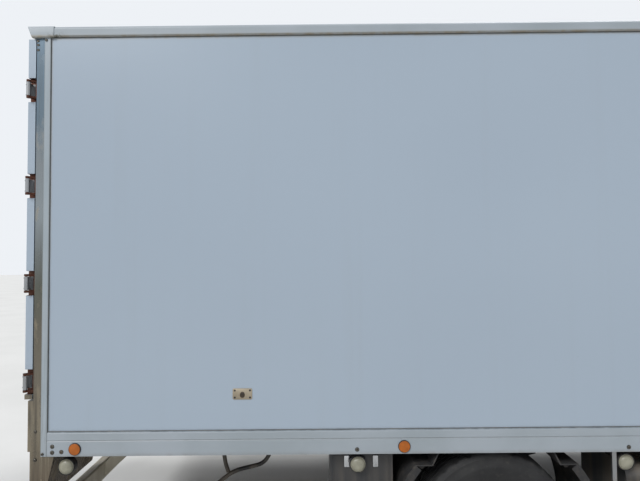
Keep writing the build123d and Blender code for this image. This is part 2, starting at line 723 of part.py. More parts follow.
def portal_hinges():
    """The arms and pins that carry the rear doors."""
    pieces = []
    for z in HINGE_ZS:
        half = BARREL_HEIGHT / 2
        pin = Pos(HINGE_X, HINGE_Y, z) * Cylinder(PIN_R, BARREL_HEIGHT + 2 * ARM_THICK)
        hinge = pin
        for low in (z - half - ARM_THICK, z + half + 1):
            profile = outline(
                (HINGE_X, HINGE_Y - BARREL_R), (PORTAL_REAR, BOX_HALF - HINGE_FOOT),
                (PORTAL_REAR, BOX_HALF), (HINGE_X, HINGE_Y + BARREL_R),
            )
            arm = along_z(profile, low, low + ARM_THICK - 1)
            arm += Pos(HINGE_X, HINGE_Y, low + (ARM_THICK - 1) / 2) * Cylinder(BARREL_R, ARM_THICK - 1)
            hinge += arm
        hinge += block(PORTAL_REAR - 5, PORTAL_REAR, BOX_HALF - HINGE_FOOT, BOX_HALF,
                       z - half - ARM_THICK, z + half + ARM_THICK)
        pieces.append(hinge)
    return both(*pieces)


def rear_door():
    """The left door: a framed panel, notched at its hinges."""
    y0, y1 = DOOR_SPLIT, BOX_HALF - 2
    x1 = DOOR_FACE + DOOR_THICK
    panel = block(DOOR_FACE, x1, y0, y1, DOOR_LOW, DOOR_HIGH)
    panel -= block(DOOR_FACE - 1, DOOR_FACE + DOOR_POCKET, y0 + DOOR_BORDER, y1 - DOOR_BORDER,
                   DOOR_LOW + DOOR_BORDER, DOOR_HIGH - DOOR_BORDER)
    for z in HINGE_ZS:
        panel -= block(DOOR_FACE - 1, x1 + 1, y1 - 22, y1 + 1,
                       z - HINGE_NOTCH / 2, z + HINGE_NOTCH / 2)
    return panel


def rear_door_fittings():
    """Hinge barrels, lock rod, its brackets and handle, of the left door."""
    y1 = BOX_HALF - 2
    pieces = []
    for z in HINGE_ZS:
        barrel = Pos(HINGE_X, HINGE_Y, z) * Cylinder(BARREL_R, BARREL_HEIGHT - 2)
        leaf = block(DOOR_FACE + 8, DOOR_FACE + 14, y1 - 22, HINGE_Y, z - 34, z + 34)
        leaf += block(DOOR_FACE + 8, DOOR_FACE + 34, y1 - 22, y1 - 16, z - 34, z + 34)
        leaf -= Pos(HINGE_X, HINGE_Y, z) * Cylinder(PIN_R + SHAFT_GAP, BARREL_HEIGHT + 9)
        barrel -= Pos(HINGE_X, HINGE_Y, z) * Cylinder(PIN_R + SHAFT_GAP, BARREL_HEIGHT + 9)
        pieces.append(barrel + leaf)
    rod_x, rod_y = DOOR_FACE - 24, DOOR_SPLIT + 110
    bar = rod((rod_x, rod_y, FLOOR_HIGH - 50), (rod_x, rod_y, PANEL_HIGH + 25), 13.5)
    brackets = 5
    for n in range(brackets):
        z = DOOR_LOW + 73 + n * (DOOR_HIGH - DOOR_LOW - 153) / (brackets - 1)
        bar += block(rod_x - 17, DOOR_FACE + DOOR_POCKET, rod_y - 34, rod_y + 34, z - 16, z + 16)
    for z in (FLOOR_HIGH - 42, PANEL_HIGH + 12):
        cam = outline(
            (rod_x - 16, rod_y - 18, 6), (rod_x - 10, rod_y + 34, 6), (rod_x + 12, rod_y + 34, 5),
            (rod_x + 12, rod_y + 12), (rod_x + 2, rod_y + 12), (rod_x + 2, rod_y - 18),
        )
        bar += along_z(cam, z - 9, z + 9)
    z = DOOR_LOW + 199
    hub = Pos(rod_x, rod_y, z) * Cylinder(21, 56)
    lever = rod((rod_x - 8, rod_y, z), (rod_x - 8, rod_y + 120, z - 24), 9)
    lever += rod((rod_x - 8, rod_y + 120, z - 24), (rod_x - 8, rod_y + 330, z - 24), 9)
    lever += Pos(rod_x - 8, rod_y + 120, z - 24) * Sphere(9)
    hasp = block(rod_x - 4, DOOR_FACE + DOOR_POCKET, rod_y + 262, rod_y + 300, z - 60, z + 12)
    hasp += block(rod_x - 26, rod_x - 4, rod_y + 266, rod_y + 296, z - 44, z - 36)
    pieces.append(bar + hub + lever + hasp)
    return pieces


def lock_keepers(seat, z0, z1):
    """The brackets on the sill or the eave behind each lock rod's ends."""
    y = DOOR_SPLIT + 110
    return both(block(DOOR_FACE - 7, seat + 8, y - 40, y + 40, z0, z1))


# Cab


def cab_section(row, inset, drop):
    """One level of the cab's outline, taken in by inset and lowered by drop."""
    z, rear, front, half, front_r, rear_r = row
    x0, x1 = FRONT_AXLE + rear + inset, FRONT_AXLE + front - inset
    y = half - inset
    face = outline((x0, -y, rear_r), (x1, -y, front_r - inset / 2), (x1, y, front_r - inset / 2),
                   (x0, y, rear_r))
    return Plane.XY.offset(z - drop) * face


def cab_form(inset, drop=0.0):
    """The cab's closed outer form, taken in by inset all round."""
    sections = [cab_section(row, inset, 0.0) for row in CAB_SECTIONS[:2]]
    sections += [cab_section(row, inset, drop) for row in CAB_SECTIONS[2:]]
    return loft(sections, ruled=True)


def arch():
    """The space that the front wheels need under the cab."""
    return rod((FRONT_AXLE, -1200, TYRE_R), (FRONT_AXLE, 1200, TYRE_R), ARCH_R)


def door_prism(grow):
    """The left cab door's outline, grown all round."""
    rake = (FACE_EAVE - FACE_BELT) / (CAB_EAVE - BELT)
    top_x = CAB_DOOR_FRONT + rake * (CAB_DOOR_HIGH - BELT)
    face = outline(
        (CAB_DOOR_REAR - grow, CAB_DOOR_LOW - grow, 30),
        (CAB_DOOR_FRONT + grow, CAB_DOOR_LOW - grow, 40),
        (CAB_DOOR_FRONT + grow, BELT),
        (top_x + grow, CAB_DOOR_HIGH + grow, 50),
        (CAB_DOOR_REAR - grow, CAB_DOOR_HIGH + grow, 50),
    )
    prism = along_y(face, 700, 1200)
    return prism - rod((FRONT_AXLE, 600, TYRE_R), (FRONT_AXLE, 1300, TYRE_R), ARCH_R + 22 - grow)


def side_window(grow):
    """The left door's window opening, grown all round."""
    face = outline(
        (CAB_DOOR_REAR + 75 - grow, BELT + 55 - grow, 40),
        (CAB_DOOR_FRONT - 75 + grow, BELT + 55 - grow, 50),
        (CAB_DOOR_FRONT - 195 + grow, CAB_DOOR_HIGH - 75 + grow, 50),
        (CAB_DOOR_REAR + 75 - grow, CAB_DOOR_HIGH - 75 + grow, 40),
    )
    return along_y(face, 700, 1200)


def windscreen_prism(grow):
    """The windscreen's opening, seen from the front, grown all round."""
    face = outline(
        (-930 - grow, SCREEN_LOW - grow, 70), (930 + grow, SCREEN_LOW - grow, 70),
        (880 + grow, SCREEN_HIGH + grow, 70), (-880 - grow, SCREEN_HIGH + grow, 70),
    )
    return along_x(face, FRONT_AXLE + 800, FRONT_AXLE + 1300)


def back_window(grow):
    """The window in the cab's rear wall, grown all round."""
    low, high = CAB_EAVE - 610 - grow, CAB_EAVE - 210 + grow
    face = outline(
        (-520 - grow, low, 50), (520 + grow, low, 50),
        (520 + grow, high, 50), (-520 - grow, high, 50),
    )
    return along_x(face, CAB_REAR - 100, CAB_REAR + 200)


def cab_hinge_pins():
    """Pins for the left cab door, each on two small arms."""
    x, y = CAB_HINGE_X, CAB_HINGE_Y
    pins = None
    for z in CAB_HINGE_ZS:
        pin = Pos(x, y, z) * Cylinder(4, 52)
        for low in (z - 26, z + 18):
            pin += Pos(x, y, low + 4) * Cylinder(6, 8)
            pin += block(x, x + 45, y - 6, y + 6, low, low + 8)
            pin += block(x + 22, x + 45, y - 20, y + 6, low, low + 8)
        pins = pin if pins is None else pins + pin
    return pins


def below_cab():
    """What the wheels, the engine and the road leave free under the cab."""
    return (
        arch()
        + block(CAB_REAR - 50, FRONT_AXLE, -1200, 1200, CAB_LOW - 50, CAB_SKIRT)
        + block(CAB_REAR - 50, FOOT_REAR - 55, -640, 640, CAB_LOW - 50, SEAT_FLOOR - 50)
        + block(FOOT_REAR - 60, FRONT_AXLE + 1030, -980, 980, CAB_LOW - 50, FOOT_FLOOR - 50)
    )


def cab_floor():
    """The stepped floor pan over the engine, with the lugs that the cab tilts on."""
    pan = cab_form(CAB_WALL + SEAT_GAP, CAB_ROOF)
    pan &= (
        block(CAB_REAR, FOOT_REAR, -1100, 1100, FOOT_FLOOR - 50, SEAT_FLOOR)
        + block(FOOT_REAR - 1, FRONT_END, -1100, 1100, FOOT_FLOOR - 50, FOOT_FLOOR)
    )
    pan -= below_cab()
    opening = door_prism(CAB_GAP)
    pan -= opening + other_side(opening)
    lug = along_y(
        outline((TILT_X - 45, 830), (TILT_X - 30, TILT_Z), (TILT_X + 30, TILT_Z), (TILT_X + 12, 830)),
        FRAME_HALF + 20, FRAME_HALF + 50,
    )
    lug += along_y(Pos(TILT_X, TILT_Z) * Circle(38), FRAME_HALF + 20, FRAME_HALF + 50)
    pin = rod((TILT_X, FRAME_HALF + 1, TILT_Z), (TILT_X, FRAME_HALF + 30, TILT_Z),
              TILT_R - SHAFT_GAP)
    return pan + lug + pin + other_side(lug + pin)


def cab_walls():
    """The cab's hollow outer form with its door and window openings."""
    shell = cab_form(0) - cab_form(CAB_WALL, CAB_ROOF) - below_cab()
    opening = door_prism(CAB_GAP)
    shell -= opening + other_side(opening)
    shell -= windscreen_prism(0)
    shell -= back_window(0)
    return shell


def cab_shell():
    """The cab's face, sides and back, up to the eave, with the doors' hinge pins."""
    walls = cab_walls() - block(CAB_REAR - 50, FRONT_END, -1200, 1200, CAB_EAVE, 2400)
    pins = cab_hinge_pins()
    return walls + pins + other_side(pins)


def cab_roof():
    """The roof panel above the eave."""
    return cab_walls() & block(CAB_REAR - 50, FRONT_END, -1200, 1200, CAB_EAVE + SEAT_GAP, 2400)


def skin(prism, depth=10.0):
    """A thin pane that follows the cab's outer form inside a prism."""
    outer = cab_form(depth)
    inner = cab_form(depth + GLASS)
    return (outer - inner) & prism


def cab_door():
    """The left cab door, as thick as the cab's wall, with its window opening."""
    door = (cab_form(0) - cab_form(18)) & door_prism(0)
    door += (cab_form(16) - cab_form(CAB_WALL)) & door_prism(-8)
    door -= side_window(0)
    door += block(CAB_DOOR_REAR + 60, CAB_DOOR_REAR + 200, 1030, 1062, BELT - 100, BELT - 65)
    for z in CAB_HINGE_ZS:
        door += block(CAB_HINGE_X - 45, CAB_HINGE_X, CAB_HINGE_Y - 20, CAB_HINGE_Y + 3, z - 16, z + 16)
        door += Pos(CAB_HINGE_X, CAB_HINGE_Y, z) * Cylinder(7, 32)
        door -= Pos(CAB_HINGE_X, CAB_HINGE_Y, z) * Cylinder(4 + SHAFT_GAP, 60)
    return door


def dashboard():
    """The dashboard across the cab, with the steering column."""
    rear = FRONT_AXLE + 670
    face = outline(
        (FRONT_END, BELT - 210), (FRONT_END, BELT + 35), (rear + 330, BELT + 35),
        (rear + 100, BELT + 100, 40), (rear, BELT + 60, 30), (rear + 50, BELT - 190, 40),
    )
    board = along_y(face, -890, 890)
    board += along_y(face, -1100, 1100) & block(CAB_DOOR_FRONT + 25, FRONT_END, -1100, 1100,
                                                BELT - 290, BELT + 110)
    board &= cab_form(CAB_WALL, CAB_ROOF)
    tilt = radians(COLUMN_ANGLE)
    x, y, z = WHEEL_HUB
    start = (x + 30 * sin(tilt), y, z - 30 * cos(tilt))
    end = (x + 380 * sin(tilt), y, z - 380 * cos(tilt))
    return board + rod(start, end, 40) + rod((x, y, z), end, COLUMN_PIN)


def steering_wheel():
    """Rim, three spokes and hub, turned about the column."""
    ring_r, grip = 212.0, 15.0
    section = Plane.XZ * (Pos(ring_r, 0) * RegularPolygon(grip, 6))
    wheel = revolve(section, Axis.Z)
    wheel += Pos(0, 0, -8) * Cylinder(52, 36)
    for angle in (90, 210, 330):
        wheel += Rot(0, 0, angle) * Pos(ring_r / 2, 0, -4) * Box(ring_r - 8, 34, 12)
    wheel -= Pos(0, 0, -49) * Cylinder(COLUMN_PIN + SHAFT_GAP, 100)
    return Pos(*WHEEL_HUB) * Rot(0, -COLUMN_ANGLE, 0) * wheel


def seats():
    """Driver's seat and the double passenger seat."""
    pieces = []
    for y0, y1 in ((-830.0, -310.0), (-180.0, 830.0)):
        base = along_y(
            outline(
                (FRONT_AXLE - 130, SEAT_FLOOR), (FRONT_AXLE + 400, SEAT_FLOOR),
                (FRONT_AXLE + 420, SEAT_FLOOR + 170, 50), (FRONT_AXLE - 60, SEAT_FLOOR + 145),
                (FRONT_AXLE - 180, SEAT_FLOOR + 780, 50), (FRONT_AXLE - 290, SEAT_FLOOR + 780, 40),
                (FRONT_AXLE - 200, SEAT_FLOOR + 60),
            ),
            y0, y1,
        )
        pieces.append(base)
    return pieces


def mirrors():
    """A mirror head on a bracket at each front corner."""
    x = FRONT_AXLE + 945
    low, high = CAB_EAVE - 670, CAB_EAVE - 210
    arm = rod((x - 20, 1005, BELT + 50), (x, 1150, low), 12)
    arm += rod((x - 105, 940, high + 90), (x, 1150, high), 12)
    arm += rod((x, 1150, low - 10), (x, 1150, high + 10), 12)
    face = outline(
        (1090, low + 100, 35), (1260, low + 100, 35), (1260, high - 40, 35), (1090, high - 40, 35)
    )
    head = loft([Plane.YZ.offset(x - 35) * face,
                 Plane.YZ.offset(x + 25) * Pos(1175, (low + high) / 2 + 30) * Rectangle(120, 240)])
    return both(arm + head - cab_form(0))


def grille():
    """Horizontal bars in the middle of the cab's face."""
    x = FRONT_AXLE + 1080
    bars = block(x, x + 16, -560, -540, 800, 1160) + block(x, x + 16, 540, 560, 800, 1160)
    for n in range(5):
        z = 800 + n * 85
        bars += block(x, x + 20, -560, 560, z, z + 22)
    return bars - cab_form(0)


def wipers():
    """Two wiper arms with blades below the windscreen."""
    arms = []
    for y in (-760.0, -20.0):
        x = FRONT_AXLE + 1070
        arms.append(block(x, x + 28, y, y + 640, BELT + 26, BELT + 42) - cab_form(0))
    return arms


def front_bumper():
    """The bumper shell with its side returns and lamp openings."""
    top, low = 655.0, 330.0
    plan = outline(
        (FRONT_END - 380, 1058), (FRONT_END - 380, 1085), (FRONT_END, 1085, 150),
        (FRONT_END, -1085, 150), (FRONT_END - 380, -1085), (FRONT_END - 380, -1058),
        (FRONT_END - 38, -1058, 130), (FRONT_END - 38, 1058, 130),
    )
    shell = along_z(plan, low, top)
    stay = block(FRAME_FRONT - 80, FRONT_END - 37, 340, 400, 500, 580)
    stay += block(FRAME_FRONT - 80, FRAME_FRONT, 340, 400, 500, FRAME_LOW)
    for side in (1, -1):
        shell -= block(FRONT_END - 60, FRONT_END + 5, min(side * 620, side * 960),
                       max(side * 620, side * 960), 455, 600)
    shell -= block(FRONT_END - 60, FRONT_END + 5, -430, 430, 540, 620)
    for y in (-PLATE_PITCH / 2, PLATE_PITCH / 2):
        shell -= rod((FRONT_END - 60, y, FRONT_PLATE_Z), (FRONT_END + 5, y, FRONT_PLATE_Z), PLATE_HOLE)
    return shell + stay + other_side(stay)


def headlamps():
    """Headlamp units in the bumper's openings."""
    g = SEAT_GAP
    lamp = block(FRONT_END - 50, FRONT_END - 4, 620 + g, 960 - g, 455 + g, 600 - g)
    return both(lamp)


def cab_steps():
    """The step well under each cab door, carried by the frame."""
    x0, x1 = FRONT_AXLE + 590, FRONT_AXLE + 790
    step = block(x0, x1, 860, 1030, 400, 430) + block(x0, x1, 860, 1030, 620, 650)
    step += block(x0, x0 + 12, 860, 1030, 400, 690) + block(x1 - 12, x1, 860, 1030, 400, 690)
    step += block(x0, x1, 848, 860, 400, 690)
    arm = block(x0 + 60, x0 + 120, FRAME_HALF, 850, 640, 680)
    return both(step + arm)


def front_mudguards():
    """The rear half of each front wheel's guard, on the chassis."""
    sheet = 5.0
    wedge = outline((0, 0), (-900, -60), (-900, 900), (-350, 900))
    ring = (Circle(ARCH_R - 15) - Circle(ARCH_R - 15 - sheet)) & wedge
    guard = along_y(Pos(FRONT_AXLE, TYRE_R) * ring, 690, 1030)
    arm = rod((FRONT_AXLE - 479, FRAME_HALF, 640), (FRONT_AXLE - 479, 1000, 640), 16)
    return both(guard + arm)


def main():
    os.makedirs("parts", exist_ok=True)
    write("chassis_frame", *chassis_frame())
    write("powertrain", powertrain())
    write("drive_shaft", drive_shaft())
    write("front_axle", front_axle())
    write("rear_axle", rear_axle())
    write("leaf_springs", *leaf_springs())
    write("tie_rod", tie_rod())
    for side, name in ((1, "left"), (-1, "right")):
        write(f"knuckle_{name}", knuckle() if side > 0 else other_side(knuckle()))
        rim, tyre = front_wheel(side)
        write(f"front_rim_{name}", rim)
        write(f"front_tyre_{name}", tyre)
        rims, tyres = rear_wheels(side)
        write(f"rear_rims_{name}", rims)
        write(f"rear_tyres_{name}", *tyres)
    write("fuel_tank", fuel_tank())
    write("battery_box", *battery_box())
    write("exhaust", exhaust())
    write("tool_box", tool_box())
    write("side_guards", *side_guards())
    write("rear_mudguards", *rear_mudguards(), *mudflaps())
    write("underrun_bar", underrun_bar())
    write("tail_lamps", *tail_lamps())
    write("body_subframe", *body_subframe())
    write("box_floor", box_floor())
    write("box_sides", *box_sides())
    write("box_front", box_front())
    write("box_roof", box_roof())
    write("rear_portal", rear_portal())
    write("top_rails", top_rails())
    write("bottom_rails", *bottom_rails())
    write("corner_trims", *corner_trims())
    write("side_reflectors", *side_reflectors())
    write("marker_lamps", *marker_lamps())
    write("marker_domes", *marker_domes())
    write("door_catches", *door_catches())
    write("portal_hinges", *portal_hinges())
    write("rear_door_left", rear_door())
    write("rear_door_right", other_side(rear_door()))
    write("lock_gear_left", *rear_door_fittings())
    write("lock_gear_right", *[other_side(s) for s in rear_door_fittings()])
    write("cab_floor", cab_floor())
    write("cab_shell", cab_shell())
    write("cab_roof", cab_roof())
    front_pane = skin(windscreen_prism(-SEAT_GAP))
    write("cab_glass", front_pane, skin(back_window(-SEAT_GAP)))
    door = cab_door()
    pane = skin(side_window(-SEAT_GAP))
    write("cab_door_left", door)
    write("cab_door_right", other_side(door))
    write("door_glass_left", pane)
    write("door_glass_right", other_side(pane))
    write("dashboard", dashboard())
    write("steering_wheel", steering_wheel())
    write("seats", *seats())
    write("mirrors", *mirrors())
    write("grille", grille())
    write("wipers", *wipers())
    write("front_bumper", front_bumper())
    write("headlamps", *headlamps())
    write("step_wells", *cab_steps(), *front_mudguards())


main()
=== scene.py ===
from math import atan2, cos, pi, radians, sin, sqrt, tan

import bmesh
import bpy
from mathutils import Euler, Matrix, Vector


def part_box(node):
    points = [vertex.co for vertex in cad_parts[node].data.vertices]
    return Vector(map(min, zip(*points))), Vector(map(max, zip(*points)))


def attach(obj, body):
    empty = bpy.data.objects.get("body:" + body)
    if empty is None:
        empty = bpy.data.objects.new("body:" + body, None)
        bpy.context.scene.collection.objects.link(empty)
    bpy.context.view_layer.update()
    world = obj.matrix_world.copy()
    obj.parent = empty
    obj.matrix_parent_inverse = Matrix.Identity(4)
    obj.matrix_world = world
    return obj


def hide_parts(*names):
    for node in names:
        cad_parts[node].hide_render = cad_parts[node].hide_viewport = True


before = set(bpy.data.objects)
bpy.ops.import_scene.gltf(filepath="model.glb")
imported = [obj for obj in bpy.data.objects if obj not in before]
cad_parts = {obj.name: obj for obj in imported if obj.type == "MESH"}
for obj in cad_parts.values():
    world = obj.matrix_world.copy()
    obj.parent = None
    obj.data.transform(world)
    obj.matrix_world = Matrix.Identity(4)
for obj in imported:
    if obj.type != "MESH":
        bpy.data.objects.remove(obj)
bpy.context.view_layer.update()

# Places read from the frame, in metres
REAR_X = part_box("rear_door_left")[0][0]
TYRE_LO, TYRE_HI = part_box("front_tyre_left")
FRONT_X = (TYRE_LO[0] + TYRE_HI[0]) / 2
TWIN_LO, TWIN_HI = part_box("rear_tyres_left")
AXLE_X = (TWIN_LO[0] + TWIN_HI[0]) / 2
WHEEL_Z = (TYRE_LO[2] + TYRE_HI[2]) / 2
TYRE_R = (TYRE_HI[2] - TYRE_LO[2]) / 2
SIDE_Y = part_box("box_sides")[1][1]
PANEL_LO, PANEL_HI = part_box("box_sides")
RAIL_LO, RAIL_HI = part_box("bottom_rails")
TOP_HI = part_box("top_rails")[1]
COVER_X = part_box("corner_trims")[0][0]
PORTAL_FRONT = PANEL_LO[0]
SIDES = ((1, "left"), (-1, "right"))


# Mesh helpers


def finished(name, bm, skins, body, angle=35):
    """Turns a bmesh into a piece with the named skins, which rides on a body."""
    bmesh.ops.recalc_face_normals(bm, faces=bm.faces)
    mesh = bpy.data.meshes.new(name)
    bm.to_mesh(mesh)
    bm.free()
    piece = bpy.data.objects.new(name, mesh)
    bpy.context.scene.collection.objects.link(piece)
    for skin in skins.split():
        mesh.materials.append(SKIN[skin])
    mesh.shade_smooth()
    mesh.set_sharp_from_angle(angle=radians(angle))
    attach(piece, body)
    return piece


def bevelled(bm, edges, offset, steps):
    """Rounds edges, and gives the faces that touch what was made."""
    out = bmesh.ops.bevel(bm, geom=edges, offset=offset, segments=steps, profile=0.5, affect="EDGES",
        clamp_overlap=True)
    return {f for v in out["verts"] for f in v.link_faces}


def block(bm, lo, hi, bevel=0, steps=1, slot=0):
    """A box between two corners, with its edges rounded."""
    lo, hi = [min(a, b) for a, b in zip(lo, hi)], [max(a, b) for a, b in zip(lo, hi)]
    made = bmesh.ops.create_cube(bm, size=1)["verts"]
    for v in made:
        v.co = Vector([lo[i] + (v.co[i] + 0.5) * (hi[i] - lo[i]) for i in range(3)])
    faces = {f for v in made for f in v.link_faces}
    if bevel:
        edges = list(dict.fromkeys(e for v in made for e in v.link_edges))
        faces = bevelled(bm, edges, bevel, steps)
        made = list({v for f in faces for v in f.verts})
    for f in faces:
        f.material_index = slot
    return made


def grid(bm, rows, slot=0, loop=False, ring=False):
    """A surface through rows of points. A loop joins each row's ends, a ring the last row to the first."""
    made = [[bm.verts.new(p) for p in row] for row in rows]
    count = len(made[0])
    for one, two in zip(made, made[1:] + made[:ring]):
        for k in range(count if loop else count - 1):
            j = (k + 1) % count
            bm.faces.new((one[k], one[j], two[j], two[k])).material_index = slot
    return made


def frame_of(direction):
    """A rotation that takes +Z to a direction."""
    return Vector(direction).to_track_quat("Z", "Y").to_matrix().to_4x4()


def spun(bm, profile, centre, direction, steps=32, slot=0):
    """A profile of (distance along, radius) points turned about a direction."""
    matrix = Matrix.Translation(centre) @ frame_of(direction)
    turns = [2 * pi * n / steps for n in range(steps)]
    rings = [[bm.verts.new(matrix @ Vector((r * cos(a), r * sin(a), h))) for h, r in profile]
        for a in turns]
    for one, two in zip(rings, rings[1:] + rings[:1]):
        for k in range(len(profile) - 1):
            corners = [one[k], one[k + 1], two[k + 1], two[k]]
            if profile[k][1] < 1e-7:
                corners = [one[k], one[k + 1], two[k + 1]]
            if profile[k + 1][1] < 1e-7:
                corners = [one[k], one[k + 1], two[k]]
            if profile[k][1] < 1e-7 and profile[k + 1][1] < 1e-7:
                continue
            bm.faces.new(corners).material_index = slot
    bmesh.ops.remove_doubles(bm, verts=[v for ring in rings for v in ring], dist=1e-6)


def rod(bm, start, end, radius, steps=12, slot=0):
    """A round bar between two points."""
    start, end = Vector(start), Vector(end)
    length = (end - start).length
    spun(bm, [(0, 0), (0, radius), (length, radius), (length, 0)], start, end - start, steps, slot)


def tube(bm, points, radius, steps=8, slot=0):
    """A bar that bends through a run of points."""
    points = [Vector(p) for p in points]
    side = (points[1] - points[0]).normalized().orthogonal().normalized()
    turns = [2 * pi * k / steps for k in range(steps)]
    rows = []
    for p, before, after in zip(points, points[:1] + points, points[1:] + points[-1:]):
        along = (after - before).normalized()
        side = (side - along * side.dot(along)).normalized()
        up = along.cross(side)
        rows.append([p + radius * (side * cos(a) + up * sin(a)) for a in turns])
    made = grid(bm, rows, slot, loop=True)
    for ends in (list(reversed(made[0])), made[-1]):
        bm.faces.new(ends).material_index = slot


def rounded(points, radius, steps=4):
    """A polyline with its inner corners rounded."""
    points = [Vector(p) for p in points]
    out = [points[0]]
    for a, b, c in zip(points, points[1:], points[2:]):
        one = b + (a - b).normalized() * min(radius, (a - b).length / 2)
        two = b + (c - b).normalized() * min(radius, (c - b).length / 2)
        for k in range(steps + 1):
            t = k / steps
            out.append(one.lerp(b, t).lerp(b.lerp(two, t), t))
    out.append(points[-1])
    return out


def plate(bm, outline, origin, across, up, thick, bevel=0, slot=0):
    """A flat plate: an outline of (u, v) points on a plane, with a thickness."""
    across, up = Vector(across).normalized(), Vector(up).normalized()
    normal = across.cross(up)
    origin = Vector(origin)
    low = [bm.verts.new(origin + across * u + up * v) for u, v in outline]
    high = [bm.verts.new(w.co + normal * thick) for w in low]
    faces = [bm.faces.new(list(reversed(low))), bm.faces.new(high)]
    count = len(low)
    for k in range(count):
        j = (k + 1) % count
        faces.append(bm.faces.new((low[k], low[j], high[j], high[k])))
    if bevel:
        made = bevelled(bm, list(faces[1].edges), bevel, 2)
        faces = made | {f for f in faces if f.is_valid}
    for f in faces:
        f.material_index = slot


def soft_rectangle(width, height, radius, steps=5):
    """Outline points of a rectangle with round corners, centred on the origin."""
    points = []
    for cx, cy, a0 in ((1, 1, 0), (-1, 1, 90), (-1, -1, 180), (1, -1, 270)):
        for k in range(steps + 1):
            a = radians(a0 + 90 * k / steps)
            points.append((cx * (width / 2 - radius) + radius * cos(a),
                cy * (height / 2 - radius) + radius * sin(a)))
    return points


def rivet(bm, at, direction, radius=0.004, height=0.0022, steps=10, slot=0):
    """A domed rivet head."""
    profile = [(-0.0005, radius), (height * 0.45, radius * 0.86), (height * 0.85, radius * 0.5),
        (height, 0)]
    spun(bm, profile, Vector(at), direction, steps, slot)


def bolt(bm, at, direction, radius=0.008, height=0.006, slot=0):
    """A hexagon head on a washer."""
    washer, top = 0.0018, height + 0.0018
    spun(bm, [(0, radius * 1.5), (washer, radius * 1.5), (washer, 0)], Vector(at), direction, 16, slot)
    spun(bm, [(0, radius), (top - 0.0012, radius), (top, radius * 0.88), (top, 0)], Vector(at), direction,
        6, slot)


# Materials


class Value:
    """A number that a shader's node gives, and that more nodes can be built on."""

    def __init__(self, shader, socket):
        self.shader, self.socket = shader, socket

    def math(self, kind, other=0):
        return self.shader.math(kind, self, other)

    def __add__(self, other):
        return self.math("ADD", other)

    def __sub__(self, other):
        return self.math("SUBTRACT", other)

    def __mul__(self, other):
        return self.math("MULTIPLY", other)

    def most(self, other):
        return self.math("MAXIMUM", other)

    def ramp(self, low, high, out_low=0, out_high=1):
        """A smooth step from out_low at low to out_high at high."""
        inputs = dict(enumerate((self, low, high, out_low, out_high)))
        return self.shader.node("ShaderNodeMapRange", "Result", inputs, interpolation_type="SMOOTHSTEP")


class Shader:
    """A node material that is built up from short calls."""

    def __init__(self, name, roughness=0.5, metallic=0, coat=0):
        self.material = bpy.data.materials.new(name)
        self.material.use_nodes = True
        self.tree = self.material.node_tree
        self.place = self.node("ShaderNodeTexCoord", "Object", {})
        self.normal = None
        self.set("Roughness", roughness)
        self.set("Metallic", metallic)
        self.set("Coat Weight", coat)
        self.set("Coat Roughness", 0.12)

    def node(self, kind, result, inputs, **values):
        """Adds a node, sets its values, feeds its inputs and gives one of its outputs."""
        made = self.tree.nodes.new(kind)
        for key, value in values.items():
            setattr(made, key, value)
        for key, value in inputs.items():
            self.feed(made.inputs[key], value)
        return Value(self, made.outputs[result])

    def feed(self, socket, value):
        """Links a value to a socket, or sets a plain number or colour on the socket itself."""
        if isinstance(value, Value):
            self.tree.links.new(value.socket, socket)
        else:
            socket.default_value = (*value, 1) if socket.type == "RGBA" else value

    def set(self, name, value):
        """Feeds one of the main shader's inputs."""
        self.feed(self.tree.nodes["Principled BSDF"].inputs[name], value)

    def math(self, kind, a, b, clamp=False):
        return self.node("ShaderNodeMath", 0, {0: a, 1: b}, operation=kind, use_clamp=clamp)

    def scaled(self, stretch):
        """The object's own coordinates, stretched by a factor along each axis."""
        return self.node("ShaderNodeMapping", "Vector", {"Vector": self.place, "Scale": stretch})

    def noise(self, scale, detail=3, stretch=(1, 1, 1)):
        inputs = {"Vector": self.scaled(stretch), "Scale": scale, "Detail": detail, "Roughness": 0.55}
        return self.node("ShaderNodeTexNoise", "Fac", inputs)

    def cells(self, scale):
        inputs = {"Vector": self.scaled((1, 1, 1)), "Scale": scale}
        return self.node("ShaderNodeTexVoronoi", "Distance", inputs)

    def wave(self, along, scale, bend):
        inputs = {"Vector": self.place, "Scale": scale, "Distortion": bend}
        return self.node("ShaderNodeTexWave", "Fac", inputs, wave_type="BANDS", bands_direction=along)

    def axis(self, name):
        return self.node("ShaderNodeSeparateXYZ", name, {0: self.place})

    def near(self, name, value, reach):
        """One close to a plane across an axis, falling to nothing at its reach."""
        return (self.axis(name) - value).math("ABSOLUTE").ramp(0, reach, 1, 0)

    def mix(self, factor, one, two):
        return self.node("ShaderNodeMix", 2, {0: factor, 6: one, 7: two}, data_type="RGBA")

    def stops(self, value, table):
        """Colours at places between 0 and 1 along a value."""
        made = self.tree.nodes.new("ShaderNodeValToRGB")
        elements = made.color_ramp.elements
        elements[1].position = 1
        for place, _ in table[1:-1]:
            elements.new(place)
        for element, (_, colour) in zip(elements, table):
            element.color = (*colour, 1)
        self.feed(made.inputs[0], value)
        return Value(self, made.outputs["Color"])

    def bump(self, height, distance, strength=1):
        inputs = {"Height": height, "Distance": distance, "Strength": strength}
        if self.normal:
            inputs["Normal"] = self.normal
        self.normal = self.node("ShaderNodeBump", "Normal", inputs)
        self.set("Normal", self.normal)


DUST = (0.3, 0.25, 0.19)
RUST = (0.16, 0.055, 0.02)
# The box's white paint, written as the darker, bluer grey it shows in sky shade: painted shade. It colours
# the box's sides, front, roof and rear doors.
PANEL = (0.345, 0.415, 0.495)


def shaded(colour, share, lift=0):
    """A darker or lighter colour."""
    return tuple(min(1, c * share + lift) for c in colour)


